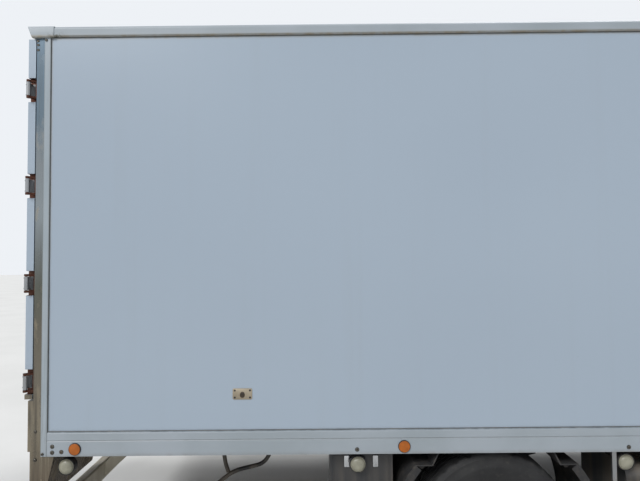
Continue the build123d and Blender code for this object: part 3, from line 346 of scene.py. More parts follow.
def painted(name, base, rough=0.3, coat=0.3, spread=0.05, dirt_top=1, dirt=0.5, fine=0.00006):
    """Paint with faint clouding, and road dust that fades out above dirt_top."""
    s = Shader(name, rough, 0, coat)
    cloud = s.noise(1.3, 4, (1, 1, 1.6))
    tone = s.mix(cloud.ramp(0.3, 0.7), shaded(base, 1 - spread), base)
    streak = s.noise(14, 5, (1, 1, 0.06))
    amount = s.axis("Z").ramp(dirt_top - 0.55, dirt_top, 1, 0) * streak.ramp(0.35, 0.75) * dirt
    s.set("Base Color", s.mix(amount, tone, DUST))
    s.set("Roughness", (amount + cloud * 0.25).ramp(0, 0.9, rough, 0.75))
    s.bump(s.noise(900, 2), fine)
    return s.material


def metal(name, base, rough=0.3, dust=0.3, rust=0, dirt_top=1.2):
    """Bare or plated metal with a fine grain, dust low down and spots of rust."""
    s = Shader(name, rough, 1)
    grain = s.noise(160)
    tone = s.mix(s.noise(5, 5).ramp(0.3, 0.7), shaded(base, 0.8), base)
    dusty = s.axis("Z").ramp(dirt_top - 0.9, dirt_top, 1, 0.25) * s.noise(22, 6).ramp(0.4, 0.8) * dust
    tone = s.mix(dusty, tone, DUST)
    spots = s.noise(48, 6).ramp(0.66 - 0.2 * rust, 0.74, 0, min(1, rust * 1.5))
    s.set("Base Color", s.mix(spots, tone, RUST))
    s.set("Metallic", s.math("SUBTRACT", 1, spots.most(dusty * 0.8), clamp=True))
    s.set("Roughness", (grain * 0.5 + spots.most(dusty)).ramp(0.1, 1.1, rough * 0.7, 0.85))
    s.bump(grain, 0.00005)
    return s.material


def moulded(name, base, rough=0.5, grain=0.0001, scale=700, dust=0.25, dirt_top=1.1):
    """Plastic or rubber with a fine grain and settled dust."""
    s = Shader(name, rough)
    cloud = s.noise(6, 5)
    tone = s.mix(cloud.ramp(0.35, 0.75), base, shaded(base, 1.5, 0.004))
    dusty = s.axis("Z").ramp(dirt_top - 0.8, dirt_top, 1, 0.1) * s.noise(30, 6).ramp(0.42, 0.8) * dust
    s.set("Base Color", s.mix(dusty, tone, DUST))
    s.set("Roughness", (cloud + dusty).ramp(0.2, 1, rough * 0.85, min(1, rough * 1.35)))
    s.bump(s.cells(scale), grain)
    return s.material


def side_panel():
    """The box's smooth side in painted sky shade, with dirt and painted shade along its joints with the
    rails and trims.
    """
    s = Shader("panel_skin", 0.26, 0, 0.35)
    cloud = s.noise(0.7, 1, (1, 1, 1.4))
    # Both tones are the white paint written as painted sky shade.
    tone = s.mix(cloud.ramp(0.2, 0.8), (0.33, 0.398, 0.478), PANEL)
    tone = s.mix(s.noise(9, 6, (1, 1, 0.035)).ramp(0.5, 0.85, 0, 0.12), tone, (0.28, 0.3, 0.315))
    # Along the joints with the rails and the corner cover, the tan high up is dirt, and the dark blue-grey
    # low down is partly dirt and partly painted shade in the grooves.
    top, foot = s.near("Z", PANEL_HI[2], 0.02) * 0.75, s.near("Z", RAIL_HI[2], 0.014) * 0.4
    joint_dirt_and_shade = top.most(foot).most(s.near("X", PORTAL_FRONT, 0.014) * 0.85)
    joint_dirt_and_shade = joint_dirt_and_shade * s.noise(26, 6, (1, 1, 0.35)).ramp(0.3, 0.7, 0.35, 1)
    joint_dirt_and_shade_colour = s.mix(s.axis("Z").ramp(1.4, 2.4), (0.13, 0.15, 0.16), (0.28, 0.25, 0.195))
    tone = s.mix(joint_dirt_and_shade, tone, joint_dirt_and_shade_colour)
    specks = s.cells(11).ramp(0, 0.035, 0.55, 0) * s.noise(3).ramp(0.5, 0.62)
    s.set("Base Color", s.mix(specks, tone, (0.2, 0.19, 0.17)))
    s.set("Roughness", (cloud * 0.1 + joint_dirt_and_shade).ramp(0, 1, 0.26, 0.7))
    s.bump(s.noise(0.8, 0), 0.003, 0.2)
    s.bump(s.noise(700, 2), 0.00004)
    return s.material


def rail_skin():
    """Pale rails in painted sky shade, with lines of painted shade and dirt where they meet the panels, and
    dirt along their feet.
    """
    s = Shader("rail_skin", 0.5, 0, 0.04)
    cloud = s.noise(2, 5)
    # Both tones are the pale paint written as painted sky shade.
    tone = s.mix(cloud.ramp(0.3, 0.7), (0.285, 0.325, 0.355), (0.335, 0.375, 0.415))
    patch = s.noise(24, 6, (1, 1, 0.5)).ramp(0.3, 0.72, 0.45, 1)
    # The dark blue-grey line where the bottom rails meet the panels is the groove's painted shadow.
    seams = s.near("Z", RAIL_HI[2], 0.009)
    tone = s.mix(seams * patch, tone, (0.085, 0.105, 0.125))
    # The tan line along the top rails' lower edge, where they meet the panels, is partly dirt and partly
    # painted shade under the rails' nose.
    tone = s.mix(s.near("Z", PANEL_HI[2], 0.013) * patch, tone, (0.25, 0.215, 0.155))
    smudge = s.near("X", PORTAL_FRONT + 0.03, 0.07) * s.near("Z", PANEL_HI[2], 0.03)
    tone = s.mix(smudge * s.noise(60, 5).ramp(0.42, 0.6), tone, (0.07, 0.07, 0.05))
    foot = (s.near("Z", 0.897, 0.006) * 0.3).most(s.near("Z", RAIL_LO[2], 0.022) * 0.4)
    s.set("Base Color", s.mix(foot * patch, tone, (0.17, 0.15, 0.12)))
    s.set("Roughness", (cloud * 0.3 + seams).ramp(0, 1, 0.46, 0.8))
    s.bump(s.noise(600, 2), 0.00005)
    return s.material


def cover_skin():
    """Pale corner covers in painted sky shade, streaked low down and grimy along their edges."""
    s = Shader("cover_skin", 0.32, 0, 0.25)
    # Both tones are the pale paint written as painted sky shade.
    tone = s.mix(s.noise(3, 5, (1, 1, 0.5)).ramp(0.3, 0.7), (0.29, 0.345, 0.385), (0.355, 0.4, 0.44))
    streak = s.noise(70, 5, (1, 1, 0.05)).ramp(0.4, 0.75) * s.axis("Z").ramp(0.8, 1.5, 0.75, 0.12)
    edge = s.near("X", PORTAL_FRONT, 0.007).most(s.near("X", COVER_X, 0.005))
    dirt = streak.most(edge * 0.7)
    s.set("Base Color", s.mix(dirt, tone, (0.15, 0.165, 0.165)))
    s.set("Roughness", dirt.ramp(0, 1, 0.3, 0.75))
    s.bump(s.noise(600, 2), 0.00005)
    return s.material


def stainless():
    """Old stainless with a painted reflection, slate-blue high up for the sky and tan low down for the
    ground, with road film and streaks low down.
    """
    s = Shader("stainless_skin", 0.32, 0.5)
    # The colour stops along the height, swayed by a noise, are a painted reflection of ground and sky.
    wave = (s.noise(5, 5, (1, 1, 0.6)) - 0.5) * 0.3
    tone = s.stops((s.axis("Z") + wave - 0.55) * 0.392,
        ((0, (0.115, 0.085, 0.06)), (0.1, (0.15, 0.125, 0.09)), (0.16, (0.2, 0.175, 0.13)),
        (0.26, (0.16, 0.142, 0.112)), (0.36, (0.13, 0.118, 0.094)), (0.43, (0.1, 0.106, 0.088)),
        (0.51, (0.15, 0.165, 0.165)), (0.6, (0.245, 0.275, 0.29)), (0.69, (0.215, 0.238, 0.252)),
        (0.78, (0.125, 0.172, 0.212)), (1, (0.112, 0.165, 0.215))))
    blotch = s.noise(17, 6, (1, 1, 0.4)).ramp(0.52, 0.66) * s.axis("Z").ramp(2.2, 2.7, 0.75, 0.15)
    tone = s.mix(blotch, tone, (0.235, 0.2, 0.145))
    low = s.axis("Z").ramp(0.7, 2.2, 1, 0.25)
    streak = s.noise(75, 6, (1, 1, 0.035))
    tone = s.mix(streak.ramp(0.5, 0.72) * low * 0.75, tone, (0.07, 0.062, 0.05))
    s.set("Base Color", s.mix(streak.ramp(0.44, 0.3) * low * 0.45, tone, (0.34, 0.31, 0.24)))
    brush = s.noise(240, 3, (1, 1, 0.03))
    s.set("Roughness", (brush * 0.3 + blotch).ramp(0, 1, 0.24, 0.6))
    s.bump(brush, 0.00003)
    s.bump(s.noise(7, 2), 0.0015, 0.3)
    return s.material


def tyre_rubber():
    """Black rubber with dust in its tread and a fine wall texture."""
    s = Shader("tyre_skin", 0.75)
    tone = s.mix(s.noise(9, 6).ramp(0.35, 0.75), (0.009, 0.009, 0.01), (0.02, 0.02, 0.02))
    s.set("Base Color", s.mix(s.noise(34, 6).ramp(0.5, 0.9, 0, 0.3), tone, (0.11, 0.1, 0.085)))
    s.bump(s.noise(500, 2), 0.00012)
    return s.material


def lens(name, base, rough=0.12, clear=0, coat=0.6):
    """A moulded lens with fine ribs behind its face."""
    s = Shader(name, rough, 0, coat)
    s.set("Base Color", s.mix(s.noise(30).ramp(0.3, 0.7), shaded(base, 0.75), base))
    s.set("Transmission Weight", clear)
    s.bump(s.cells(260), 0.0006)
    return s.material


def glazing():
    """Window glass with a faint film of dust."""
    s = Shader("glass_skin", 0.03)
    s.set("Transmission Weight", 1)
    s.set("IOR", 1.45)
    s.set("Base Color", (0.72, 0.8, 0.79))
    s.set("Roughness", s.noise(5, 6).ramp(0.45, 0.9, 0.02, 0.16))
    return s.material


def woven(name, base, pitch=900):
    """A ribbed seat cloth."""
    s = Shader(name, 0.85)
    s.set("Sheen Weight", 0.35)
    weave = s.wave("Y", pitch / 6.3, 0.6) * s.wave("X", pitch / 6.3, 0)
    tone = s.mix(s.noise(7, 5).ramp(0.3, 0.7), shaded(base, 0.7), base)
    s.set("Base Color", s.mix(weave * 0.5, tone, shaded(base, 1.9)))
    s.bump(weave, 0.0004)
    return s.material


def planks():
    """A worn hardwood floor of planks that run forward."""
    s = Shader("floor_skin", 0.6)
    row = s.axis("Y") * 8
    gap = (row.math("FRACT") - 0.5).math("ABSOLUTE").ramp(0.47, 0.5)
    grain = s.noise(60, 6, (0.05, 1, 1))
    tone = s.mix(grain.ramp(0.3, 0.7), (0.16, 0.1, 0.06), (0.3, 0.2, 0.12))
    each = ((row.math("FLOOR") * 12.9).math("SINE") * 437.5).math("FRACT")
    tone = s.mix(each * 0.35, tone, (0.36, 0.27, 0.18))
    tone = s.mix(s.noise(4, 6).ramp(0.45, 0.75, 0, 0.5), tone, (0.22, 0.19, 0.16))
    s.set("Base Color", s.mix(gap, tone, (0.02, 0.015, 0.01)))
    s.set("Roughness", grain.ramp(0.2, 0.8, 0.5, 0.75))
    s.bump(grain * 0.2 - gap, 0.002)
    return s.material


SKIN = {
    "panel": side_panel(),
    "white": painted("white_skin", PANEL, 0.28, 0.3, 0.05, 1.3, 0.5),
    "cab": painted("cab_skin", (0.6, 0.63, 0.66), 0.2, 0.6, 0.03, 1.25, 0.35),
    "rail": rail_skin(),
    "cover": cover_skin(),
    "stainless": stainless(),
    "galvanised": metal("galvanised_skin", (0.36, 0.37, 0.38), 0.42, 0.5, 0.25),
    "chassis": painted("chassis_skin", (0.018, 0.018, 0.02), 0.5, 0, 0.3, 1.15, 0.35),
    "cast": painted("cast_skin", (0.06, 0.055, 0.05), 0.75, 0, 0.3, 1.2, 0.6, 0.0004),
    "tank": painted("tank_skin", (0.075, 0.08, 0.085), 0.42, 0.1, 0.15, 1.1, 0.6),
    "box_dark": painted("tool_box_skin", (0.016, 0.018, 0.022), 0.45, 0.1, 0.2, 1, 0.3),
    "rim": painted("rim_skin", (0.36, 0.37, 0.38), 0.35, 0.2, 0.12, 1, 0.75),
    "steel": metal("bright_steel_skin", (0.55, 0.56, 0.57), 0.25, 0.2, 0.1),
    "chrome": metal("chrome_skin", (0.75, 0.76, 0.78), 0.06, 0.1),
    "burnt": metal("exhaust_skin", (0.26, 0.2, 0.15), 0.5, 0.5, 0.5),
    "tyre": tyre_rubber(),
    "rubber": moulded("rubber_skin", (0.014, 0.014, 0.015), 0.7, 0.00015, 400, 0.3),
    "seal": moulded("seal_skin", (0.01, 0.01, 0.011), 0.6, 0.00005, 900, 0.2, 3.2),
    "plastic": moulded("black_plastic_skin", (0.02, 0.02, 0.022), 0.5, 0.00012, 900, 0.3),
    "trim": moulded("grey_plastic_skin", (0.085, 0.088, 0.092), 0.6, 0.0001, 1100, 0.06, 1.6),
    "trim_dark": moulded("dark_trim_skin", (0.032, 0.033, 0.036), 0.6, 0.0001, 1100, 0.06, 1.6),
    "liner": moulded("liner_skin", (0.3, 0.29, 0.27), 0.75, 0.0001, 900, 0.05, 1.6),
    "mat": moulded("floor_mat_skin", (0.022, 0.022, 0.024), 0.8, 0.0004, 220, 0.2, 1.3),
    "amber": lens("amber_skin", (0.42, 0.105, 0.001), 0.45, 0, 0),
    "red": lens("red_skin", (0.36, 0.008, 0.006), 0.14),
    "pearl": lens("pearl_skin", (0.31, 0.3, 0.23), 0.4, 0, 0.15),
    "clear": lens("clear_skin", (0.85, 0.87, 0.88), 0.05, 0.85),
    "glass": glazing(),
    "worn": metal("catch_skin", (0.42, 0.36, 0.27), 0.45, 0.4, 0.3, 3),
    "socket": metal("socket_skin", (0.07, 0.055, 0.045), 0.7, 0.2, 0.6, 3),
    "sealant": moulded("sealant_skin", (0.085, 0.092, 0.095), 0.6, 0.0002, 300, 0.3, 3.2),
    "hinge": metal("hinge_skin", (0.085, 0.038, 0.028), 0.7, 0.15, 0.5, 3),
    "screw": metal("screw_skin", (0.13, 0.125, 0.11), 0.5, 0.3, 0.35, 3.2),
    "buff": painted("buff_skin", (0.5, 0.465, 0.375), 0.5, 0.05, 0.12, 1, 0.45),
    "under": painted("underbody_skin", (0.022, 0.021, 0.02), 0.7, 0, 0.4, 1.2, 0.3, 0.0002),
    "cloth": woven("seat_cloth_skin", (0.05, 0.055, 0.066)),
    "bolster": woven("seat_side_skin", (0.022, 0.024, 0.028), 1300),
    "floor": planks(),
}

NODE_SKINS = {
    "panel": "box_sides",
    "white": "box_front box_roof rear_door_left rear_door_right",
    "rail": "top_rails bottom_rails",
    "cover": "corner_trims",
    "stainless": "rear_portal door_catches",
    "galvanised": "side_guards lock_gear_left lock_gear_right",
    "hinge": "portal_hinges",
    "under": "body_subframe",
    "chassis": "chassis_frame front_axle rear_axle leaf_springs drive_shaft battery_box tie_rod",
    "buff": "underrun_bar",
    "cast": "powertrain knuckle_left knuckle_right",
    "tank": "fuel_tank",
    "box_dark": "tool_box",
    "burnt": "exhaust",
    "rim": "front_rim_left front_rim_right rear_rims_left rear_rims_right",
    "tyre": "front_tyre_left front_tyre_right rear_tyres_left rear_tyres_right",
    "rubber": "rear_mudguards",
    "plastic": "step_wells mirrors grille wipers marker_lamps",
    "trim": "dashboard",
    "trim_dark": "steering_wheel",
    "cab": "cab_shell cab_roof cab_door_left cab_door_right front_bumper",
    "mat": "cab_floor",
    "glass": "cab_glass door_glass_left door_glass_right",
    "amber": "side_reflectors",
    "red": "tail_lamps",
    "pearl": "marker_domes",
    "clear": "headlamps",
    "cloth": "seats",
    "floor": "box_floor",
}
for key, names in NODE_SKINS.items():
    for node in names.split():
        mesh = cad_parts[node].data
        mesh.materials.clear()
        mesh.materials.append(SKIN[key])
        mesh.shade_smooth()
        mesh.set_sharp_from_angle(angle=radians(30))


# Places read from the CAD solids


def islands(node):
    """The centre and the size of each separate solid of a CAD node."""
    bm = bmesh.new()
    bm.from_mesh(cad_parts[node].data)
    bmesh.ops.remove_doubles(bm, verts=bm.verts, dist=1e-5)
    left, out = set(bm.verts), []
    while left:
        queue = [left.pop()]
        group = []
        while queue:
            vert = queue.pop()
            group.append(vert.co.copy())
            for edge in vert.link_edges:
                other = edge.other_vert(vert)
                if other in left:
                    left.remove(other)
                    queue.append(other)
        lo = Vector([min(c[i] for c in group) for i in range(3)])
        hi = Vector([max(c[i] for c in group) for i in range(3)])
        out.append(((lo + hi) / 2, hi - lo))
    bm.free()
    return sorted(out, key=lambda one: tuple(round(c, 4) for c in one[0]))


# The box body's small fittings

PORTAL_REAR = REAR_X + 0.045
TRIM_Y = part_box("corner_trims")[1][1]
DOMES = islands("marker_domes")
HINGES = islands("portal_hinges")
DOOR_LO, DOOR_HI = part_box("rear_door_left")


def plane(x, way=1):
    """Gives points (y, z) on a plane across the truck, which stand off it along X."""
    return lambda y, z, off=0: Vector((x + way * off, y, z))


def screws():
    """Cross-head screws on the bottom rails, the rear posts and their covers."""
    bm = bmesh.new()
    foot = RAIL_LO[2]
    rail = [(x, foot + up, 0.0095) for x in (PORTAL_FRONT + 0.029, RAIL_HI[0] - 0.03)
        for up in (0.02, 0.05)]
    rail += [(at.x - 0.006, foot + 0.023, 0.0095) for at, _ in DOMES if at.y > 0]
    post = [(REAR_X + u, z, radius) for u, z, radius in ((0.058, 0.943, 0.0075), (0.05, 2.975, 0.006),
        (0.051, 2.954, 0.006), (0.051, 2.927, 0.006), (0.056, 0.8, 0.0075))]
    cover = [(REAR_X + 0.098, 0.832, 0.0065), (REAR_X + 0.097, 2.977, 0.0065)]
    for side, _ in SIDES:
        for spots, y in ((rail, RAIL_HI[1]), (post, SIDE_Y), (cover, TRIM_Y)):
            for x, z, r in spots:
                base, out = (x, side * y, z), (0, side, 0)
                # A dark rubber ring round each head, put there as painted shadow at the head's foot.
                spun(bm, [(0, r * 1.18), (0.0006, r * 1.15), (0.0006, 0)], base, out, 20, 1)
                spun(bm, [(0, r), (0.0022, r * 0.93), (0.0032, r * 0.7), (0.003, r * 0.5), (0.0036, 0)],
                    base, out, 20)
                for u, v in ((r * 0.55, r * 0.13), (r * 0.13, r * 0.55)):
                    block(bm, (x - u, side * (y + 0.002), z - v), (x + u, side * (y + 0.0039), z + v),
                        slot=2)
    finished("body_screws", bm, "screw seal socket", "chassis")


def eave_caps():
    """Cast caps over the rear ends of the top rails, a little proud of them."""
    bm = bmesh.new()
    low, top, out = PANEL_HI[2], TOP_HI[2], TOP_HI[1]
    proud, radius = 0.003, 0.008
    section = [(out - 0.012, low - 0.004), (out + proud - 0.004, low - 0.004), (out + proud, low)]
    for k in range(7):
        a = radians(90 * k / 6)
        lift = proud * cos(a)
        section.append((out - radius + (radius + lift) * cos(a), top - radius + radius * sin(a)))
    section.append((out - radius - 0.012, top - 0.0008))
    for side, _ in SIDES:
        rows = []
        for y, z in section:
            rear = REAR_X + 0.023 - 0.022 * (z - low) / (top - low)
            xs = ((rear, 0.01), (rear, 0.001), (rear + 0.0012, 0), (REAR_X + 0.139, 0),
                (REAR_X + 0.1405, 0.0012), (REAR_X + 0.1405, 0.004))
            rows.append([(x, side * (y - inward), z) for x, inward in xs])
        grid(bm, rows)
    finished("eave_caps", bm, "rail", "chassis", 28)


def sealant():
    """Beads of sealant where the side panels meet the rails and covers."""
    bm = bmesh.new()
    x0, x1, z0, z1 = PORTAL_FRONT, PANEL_HI[0], RAIL_HI[2], PANEL_HI[2]
    for side, _ in SIDES:
        for xa, xb, za, zb, bevel in (
                (x0 - 0.0005, x0 + 0.0035, z0, z1, 0.0015), (x0, x1, z1 - 0.004, z1, 0.0015),
                (x0, x1, z0 - 0.001, z0 + 0.003, 0.0015), (x1 - 0.003, x1, z0, z1, 0.001)):
            block(bm, (xa, side * (SIDE_Y - 0.001), za), (xb, side * (SIDE_Y + 0.0028), zb), bevel, 2)
    finished("sealant_beads", bm, "sealant", "chassis")


def catch_plates():
    """Riveted plates with a worn socket, which hold the open doors."""
    bm = bmesh.new()
    for at, size in islands("door_catches"):
        side = 1 if at.y > 0 else -1
        face = side * SIDE_Y
        across = (-side, 0, 0)
        plate(bm, soft_rectangle(size.x, size.z, 0.007), (at.x, face, at.z), across, (0, 0, 1), 0.0024,
            0.0008)
        for u in (-1, 1):
            for v in (-1, 1):
                spot = (at.x + u * (size.x / 2 - 0.011), face + side * 0.0022,
                    at.z + v * (size.z / 2 - 0.01))
                rivet(bm, spot, (0, side, 0), 0.0058, 0.0026, 12, 2)
        socket = []
        for k in range(28):
            a = 2 * pi * k / 28
            reach = 0.0135 * (1 - 0.38 * sin(a)) * (1 - 0.16 * cos(2 * a))
            socket.append((reach * cos(a), reach * sin(a) + 0.002))
        plate(bm, socket, (at.x, face + side * 0.0022, at.z), across, (0, 0, 1), 0.0022, 0.0009, 1)
        spun(bm, [(0.0042, 0.0062), (0.0052, 0.0054), (0.0052, 0.0042), (0.0022, 0.0036), (0.0022, 0)],
            (at.x, face, at.z), (0, side, 0), 18, 2)
    plates = finished("catch_plates", bm, "worn socket seal", "chassis")
    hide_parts("door_catches")


def reflectors():
    """Amber discs with a moulded rim on black rubber rings."""
    bm = bmesh.new()
    lens = [(0.002, 0.0285), (0.0062, 0.0285), (0.0078, 0.027), (0.0078, 0.0255), (0.0066, 0.0245),
        (0.0068, 0.0235), (0.0078, 0.016), (0.0083, 0.008), (0.0084, 0)]
    ring = [(0, 0.0315), (0.0035, 0.0315), (0.0052, 0.0305), (0.0052, 0.0288), (0.003, 0.028)]
    for at, _ in islands("side_reflectors"):
        side = 1 if at.y > 0 else -1
        base = (at.x, side * RAIL_HI[1], at.z)
        spun(bm, lens, base, (0, side, 0), 40)
        spun(bm, ring, base, (0, side, 0), 40, 1)
    made = finished("reflector_discs", bm, "amber seal", "chassis", 50)
    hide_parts("side_reflectors")


def lamp_domes():
    """Pearl domes of the side lamps, each with a stepped rim and a rubber ring."""
    bm = bmesh.new()
    rim = min(size.x for _, size in DOMES) / 2
    for at, size in DOMES:
        side = 1 if at.y > 0 else -1
        deep = size.y
        base = (at.x, at.y - side * deep / 2, at.z)
        dome = [(0, rim * 0.99), (0.0022, rim * 0.99), (0.0036, rim * 0.95), (0.003, rim * 0.91)]
        for k in range(1, 12):
            share = k / 11
            radius = rim * 0.9 * (1 - share)
            rise = 0.003 + (deep - 0.0035) * sqrt(max(0, 1 - (radius / (rim * 0.9)) ** 2))
            dome.append((rise, radius))
        spun(bm, dome, base, (0, side, 0), 40)
        spun(bm, [(-0.004, rim + 0.0035), (0.0028, rim + 0.0035), (0.0046, rim + 0.002),
            (0.0046, rim - 0.001), (0.001, rim - 0.002)], base, (0, side, 0), 40, 1)
    made = finished("lamp_domes", bm, "pearl seal", "chassis", 50)
    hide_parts("marker_domes")


# The rear doors and the lamps below them


def notch_liners():
    """Rust-stained linings of the doors' hinge notches, and bright strips at the doors' feet."""
    half, deep = 0.064, DOOR_HI[1] - 0.022
    x0, x1, z0, z1 = DOOR_LO[0], DOOR_HI[0], DOOR_LO[2], DOOR_LO[2] + 0.0245
    for side, name in SIDES:
        bm = bmesh.new()
        for at, _ in HINGES:
            if at.y * side > 0:
                low, high = at.z - half, at.z + half
                for ya, yb, za, zb in (
                        (deep - 0.0005, deep + 0.0015, low + 0.001, high - 0.001),
                        (deep, DOOR_HI[1] - 0.004, low, low + 0.0015),
                        (deep, DOOR_HI[1] - 0.004, high - 0.0015, high)):
                    block(bm, (x0 + 0.001, side * ya, za), (x1 - 0.001, side * yb, zb))
        finished(f"notch_liners_{name}", bm, "hinge", f"rear_door_{name}")
        bm = bmesh.new()
        for xa, xb, ya in (
                (x0 - 0.0012, x0 + 0.001, DOOR_LO[1] + 0.003), (x0 - 0.001, x1, DOOR_HI[1] - 0.001)):
            block(bm, (xa, side * ya, z0), (xb, side * (DOOR_HI[1] + 0.0012), z1), 0.0004)
        finished(f"door_edge_{name}", bm, "stainless", f"rear_door_{name}")


def door_seals():
    """Black lipped seals round the inside of each rear door."""
    for side, name in SIDES:
        bm = bmesh.new()
        x0, x1 = DOOR_HI[0] - 0.0005, PORTAL_REAR - 0.0006
        y0, y1 = DOOR_LO[1] + 0.004, DOOR_HI[1] - 0.026
        z0, z1 = DOOR_LO[2] + 0.004, DOOR_HI[2] - 0.004
        wide = 0.024
        for ya, yb, za, zb in (
                (y0, y0 + wide, z0, z1), (y1 - wide, y1, z0, z1), (y0 + wide, y1 - wide, z0, z0 + wide),
                (y0 + wide, y1 - wide, z1 - wide, z1)):
            block(bm, (x0, side * ya, za), (x1, side * yb, zb), 0.0025, 2)
        finished(f"door_seal_{name}", bm, "seal", f"rear_door_{name}")


def tail_lenses():
    """Three fluted lenses a side: turn lamp outside, then tail and reversing lamp."""
    lamps = islands("tail_lamps")
    bm = bmesh.new()
    for side, _ in SIDES:
        row = sorted([one for one in lamps if one[0].y * side > 0], key=lambda one: -abs(one[0].y))
        for slot, (at, size) in enumerate(row):
            rear = at.x - size.x / 2
            block(bm, (rear + 0.006, at.y - size.y / 2, at.z - size.z / 2),
                (rear + 0.03, at.y + size.y / 2, at.z + size.z / 2), 0.004, 2, 3)
            outline = soft_rectangle(size.y - 0.012, size.z - 0.012, 0.012)
            plate(bm, outline, (rear + 0.007, at.y, at.z), (0, -1, 0), (0, 0, 1), 0.0045, 0.002, slot)
            count = 11
            for k in range(count):
                y = at.y + (size.y - 0.03) * ((k + 0.5) / count - 0.5)
                block(bm, (rear + 0.0012, y - 0.0035, at.z - size.z / 2 + 0.014),
                    (rear + 0.004, y + 0.0035, at.z + size.z / 2 - 0.014), 0.0012, 2, slot)
            for v in (-1, 1):
                rivet(bm, (rear + 0.006, at.y, at.z + v * (size.z / 2 - 0.0065)), (-1, 0, 0), 0.0035, 0.002,
                    10, 4)
    made = finished("tail_lenses", bm, "amber red pearl plastic steel", "chassis")
    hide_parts("tail_lamps")


# Wheels


def tyre(bm, centre, wide, outward):
    """A ribbed road tyre: zigzag grooves, notched shoulders and ringed walls."""
    rim, crown = 0.2225, TYRE_R
    wall = ((0.08, rim), (0.0865, rim + 0.008), (0.09, rim + 0.016), (0.0885, rim + 0.019),
        (0.096, rim + 0.038), (0.1045, rim + 0.062), (0.1105, rim + 0.085), (0.1125, rim + 0.105),
        (0.1128, rim + 0.108), (0.111, rim + 0.1115), (0.11, rim + 0.13), (0.1055, rim + 0.146),
        (0.1065, rim + 0.149), (0.1015, rim + 0.158), (0.0965, rim + 0.1685))
    scale = wide / 0.1128
    half = [(a * scale, r, "wall") for a, r in wall]
    half += [(0.0905 * scale, crown - 0.0045, "edge"), (0.084 * scale, crown - 0.0022, "edge"),
        (0.066 * scale, crown - 0.0012, "edge")]
    for middle in (0.0545, 0.0195):
        high = crown - 0.0012 * (middle / 0.0545)
        for away, drop in ((0.005, 0), (0.003, 0.0125), (-0.003, 0.0125), (-0.005, 0)):
            half.append(((middle + away) * scale, high - drop, "groove"))
    half.append((0, crown, "rib"))
    profile = half + [(-a, r, kind) for a, r, kind in reversed(half[:-1])]
    matrix = Matrix.Translation(centre) @ frame_of((0, outward, 0))
    rows, steps, notch = [], 132, 0.007
    for n in range(steps):
        turn = 2 * pi * n / steps
        sway = 0.0032 if (n // 2) % 2 else -0.0032
        row = []
        for axial, radius, kind in profile:
            axial += sway * (kind == "groove")
            radius -= notch * (kind == "edge" and n % 4 == 0)
            row.append(matrix @ Vector((radius * cos(turn), radius * sin(turn), axial)))
        rows.append(row)
    grid(bm, rows, ring=True)


def tyres():
    """Road tyres in place of the plain CAD rings."""
    for side, name in SIDES:
        for node, body in (
                (f"front_tyre_{name}", f"front_wheel_{name}"),
                (f"rear_tyres_{name}", f"rear_wheels_{name}")):
            bm = bmesh.new()
            if node.startswith("front"):
                lo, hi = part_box(node)
                tyre(bm, (Vector(lo) + Vector(hi)) / 2, (hi[1] - lo[1]) / 2, side)
            else:
                for at, size in islands(node):
                    tyre(bm, at, min(size.y / 2, 0.1125), side)
            made = finished(f"{node}_tread", bm, "tyre", body, 40)
            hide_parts(node)


def middle_y(node):
    """The middle of a CAD node across the truck."""
    lo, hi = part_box(node)
    return (lo[1] + hi[1]) / 2


def on_wheel(x, y, radius, angle):
    """A point at a radius and an angle round a wheel's axis."""
    return Vector((x + radius * cos(radians(angle)), y, WHEEL_Z + radius * sin(radians(angle))))


def wheel_fittings():
    """Nuts, hub bolts and valves, and the brake drums inside the rims."""
    for side, name in SIDES:
        out = (0, side, 0)
        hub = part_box(f"front_rim_{name}")[side > 0][1]
        middle = middle_y(f"rear_rims_{name}")
        for body, x, cap_y, face_y, mid_y, nut_r, bolt_r, a0, a1, inner, outer in (
                (f"front_wheel_{name}", FRONT_X, hub, hub - side * 0.031, hub - side * 0.158, 0.111, 0.05,
                 -0.088, 0, 0.087, 0.16),
                (f"rear_wheels_{name}", AXLE_X, middle + side * 0.145, middle + side * 0.02, middle, 0.116,
                 0.066, -0.195, -0.105, 0.101, 0.186)):
            bm = bmesh.new()
            for k in range(6):
                at = on_wheel(x, face_y, nut_r, 60 * k + 30)
                spun(bm, [(0, 0.0215), (0.003, 0.0205), (0.003, 0)], at, out, 20)
                spun(bm, [(0.003, 0.0185), (0.021, 0.0185), (0.024, 0.016), (0.024, 0)], at, out, 6)
                spun(bm, [(0.02, 0.0095), (0.034, 0.0095), (0.036, 0.008), (0.036, 0)], at, out, 14)
            for k in range(8):
                bolt(bm, on_wheel(x, cap_y, bolt_r, 45 * k), out, 0.007, 0.006)
            dome = [(0, bolt_r * 0.55), (0.003, bolt_r * 0.52), (0.005, bolt_r * 0.4), (0.006, 0)]
            spun(bm, dome, (x, cap_y, WHEEL_Z), out, 28)
            finished(f"nuts_{body}", bm, "steel", body, 30)
            bm = bmesh.new()
            spun(bm, [(a1, inner), (a1, outer - 0.008), (a1 - 0.012, outer), (a0 + 0.01, outer),
                (a0, outer + 0.006), (a0 - 0.002, outer + 0.006), (a0 - 0.002, outer - 0.01),
                (a1 - 0.015, outer - 0.016), (a1 - 0.015, inner)], (x, mid_y, WHEEL_Z), out, 48)
            finished(f"drum_{body}", bm, "cast", body, 30)
            bm = bmesh.new()
            start = on_wheel(x, mid_y + side * 0.055, 0.196, 100)
            end = on_wheel(x, mid_y + side * 0.096, 0.178, 100)
            rod(bm, start, end, 0.004, 10)
            rod(bm, end, end + (end - start).normalized() * 0.012, 0.0052, 10)
            finished(f"valve_{body}", bm, "seal", body)


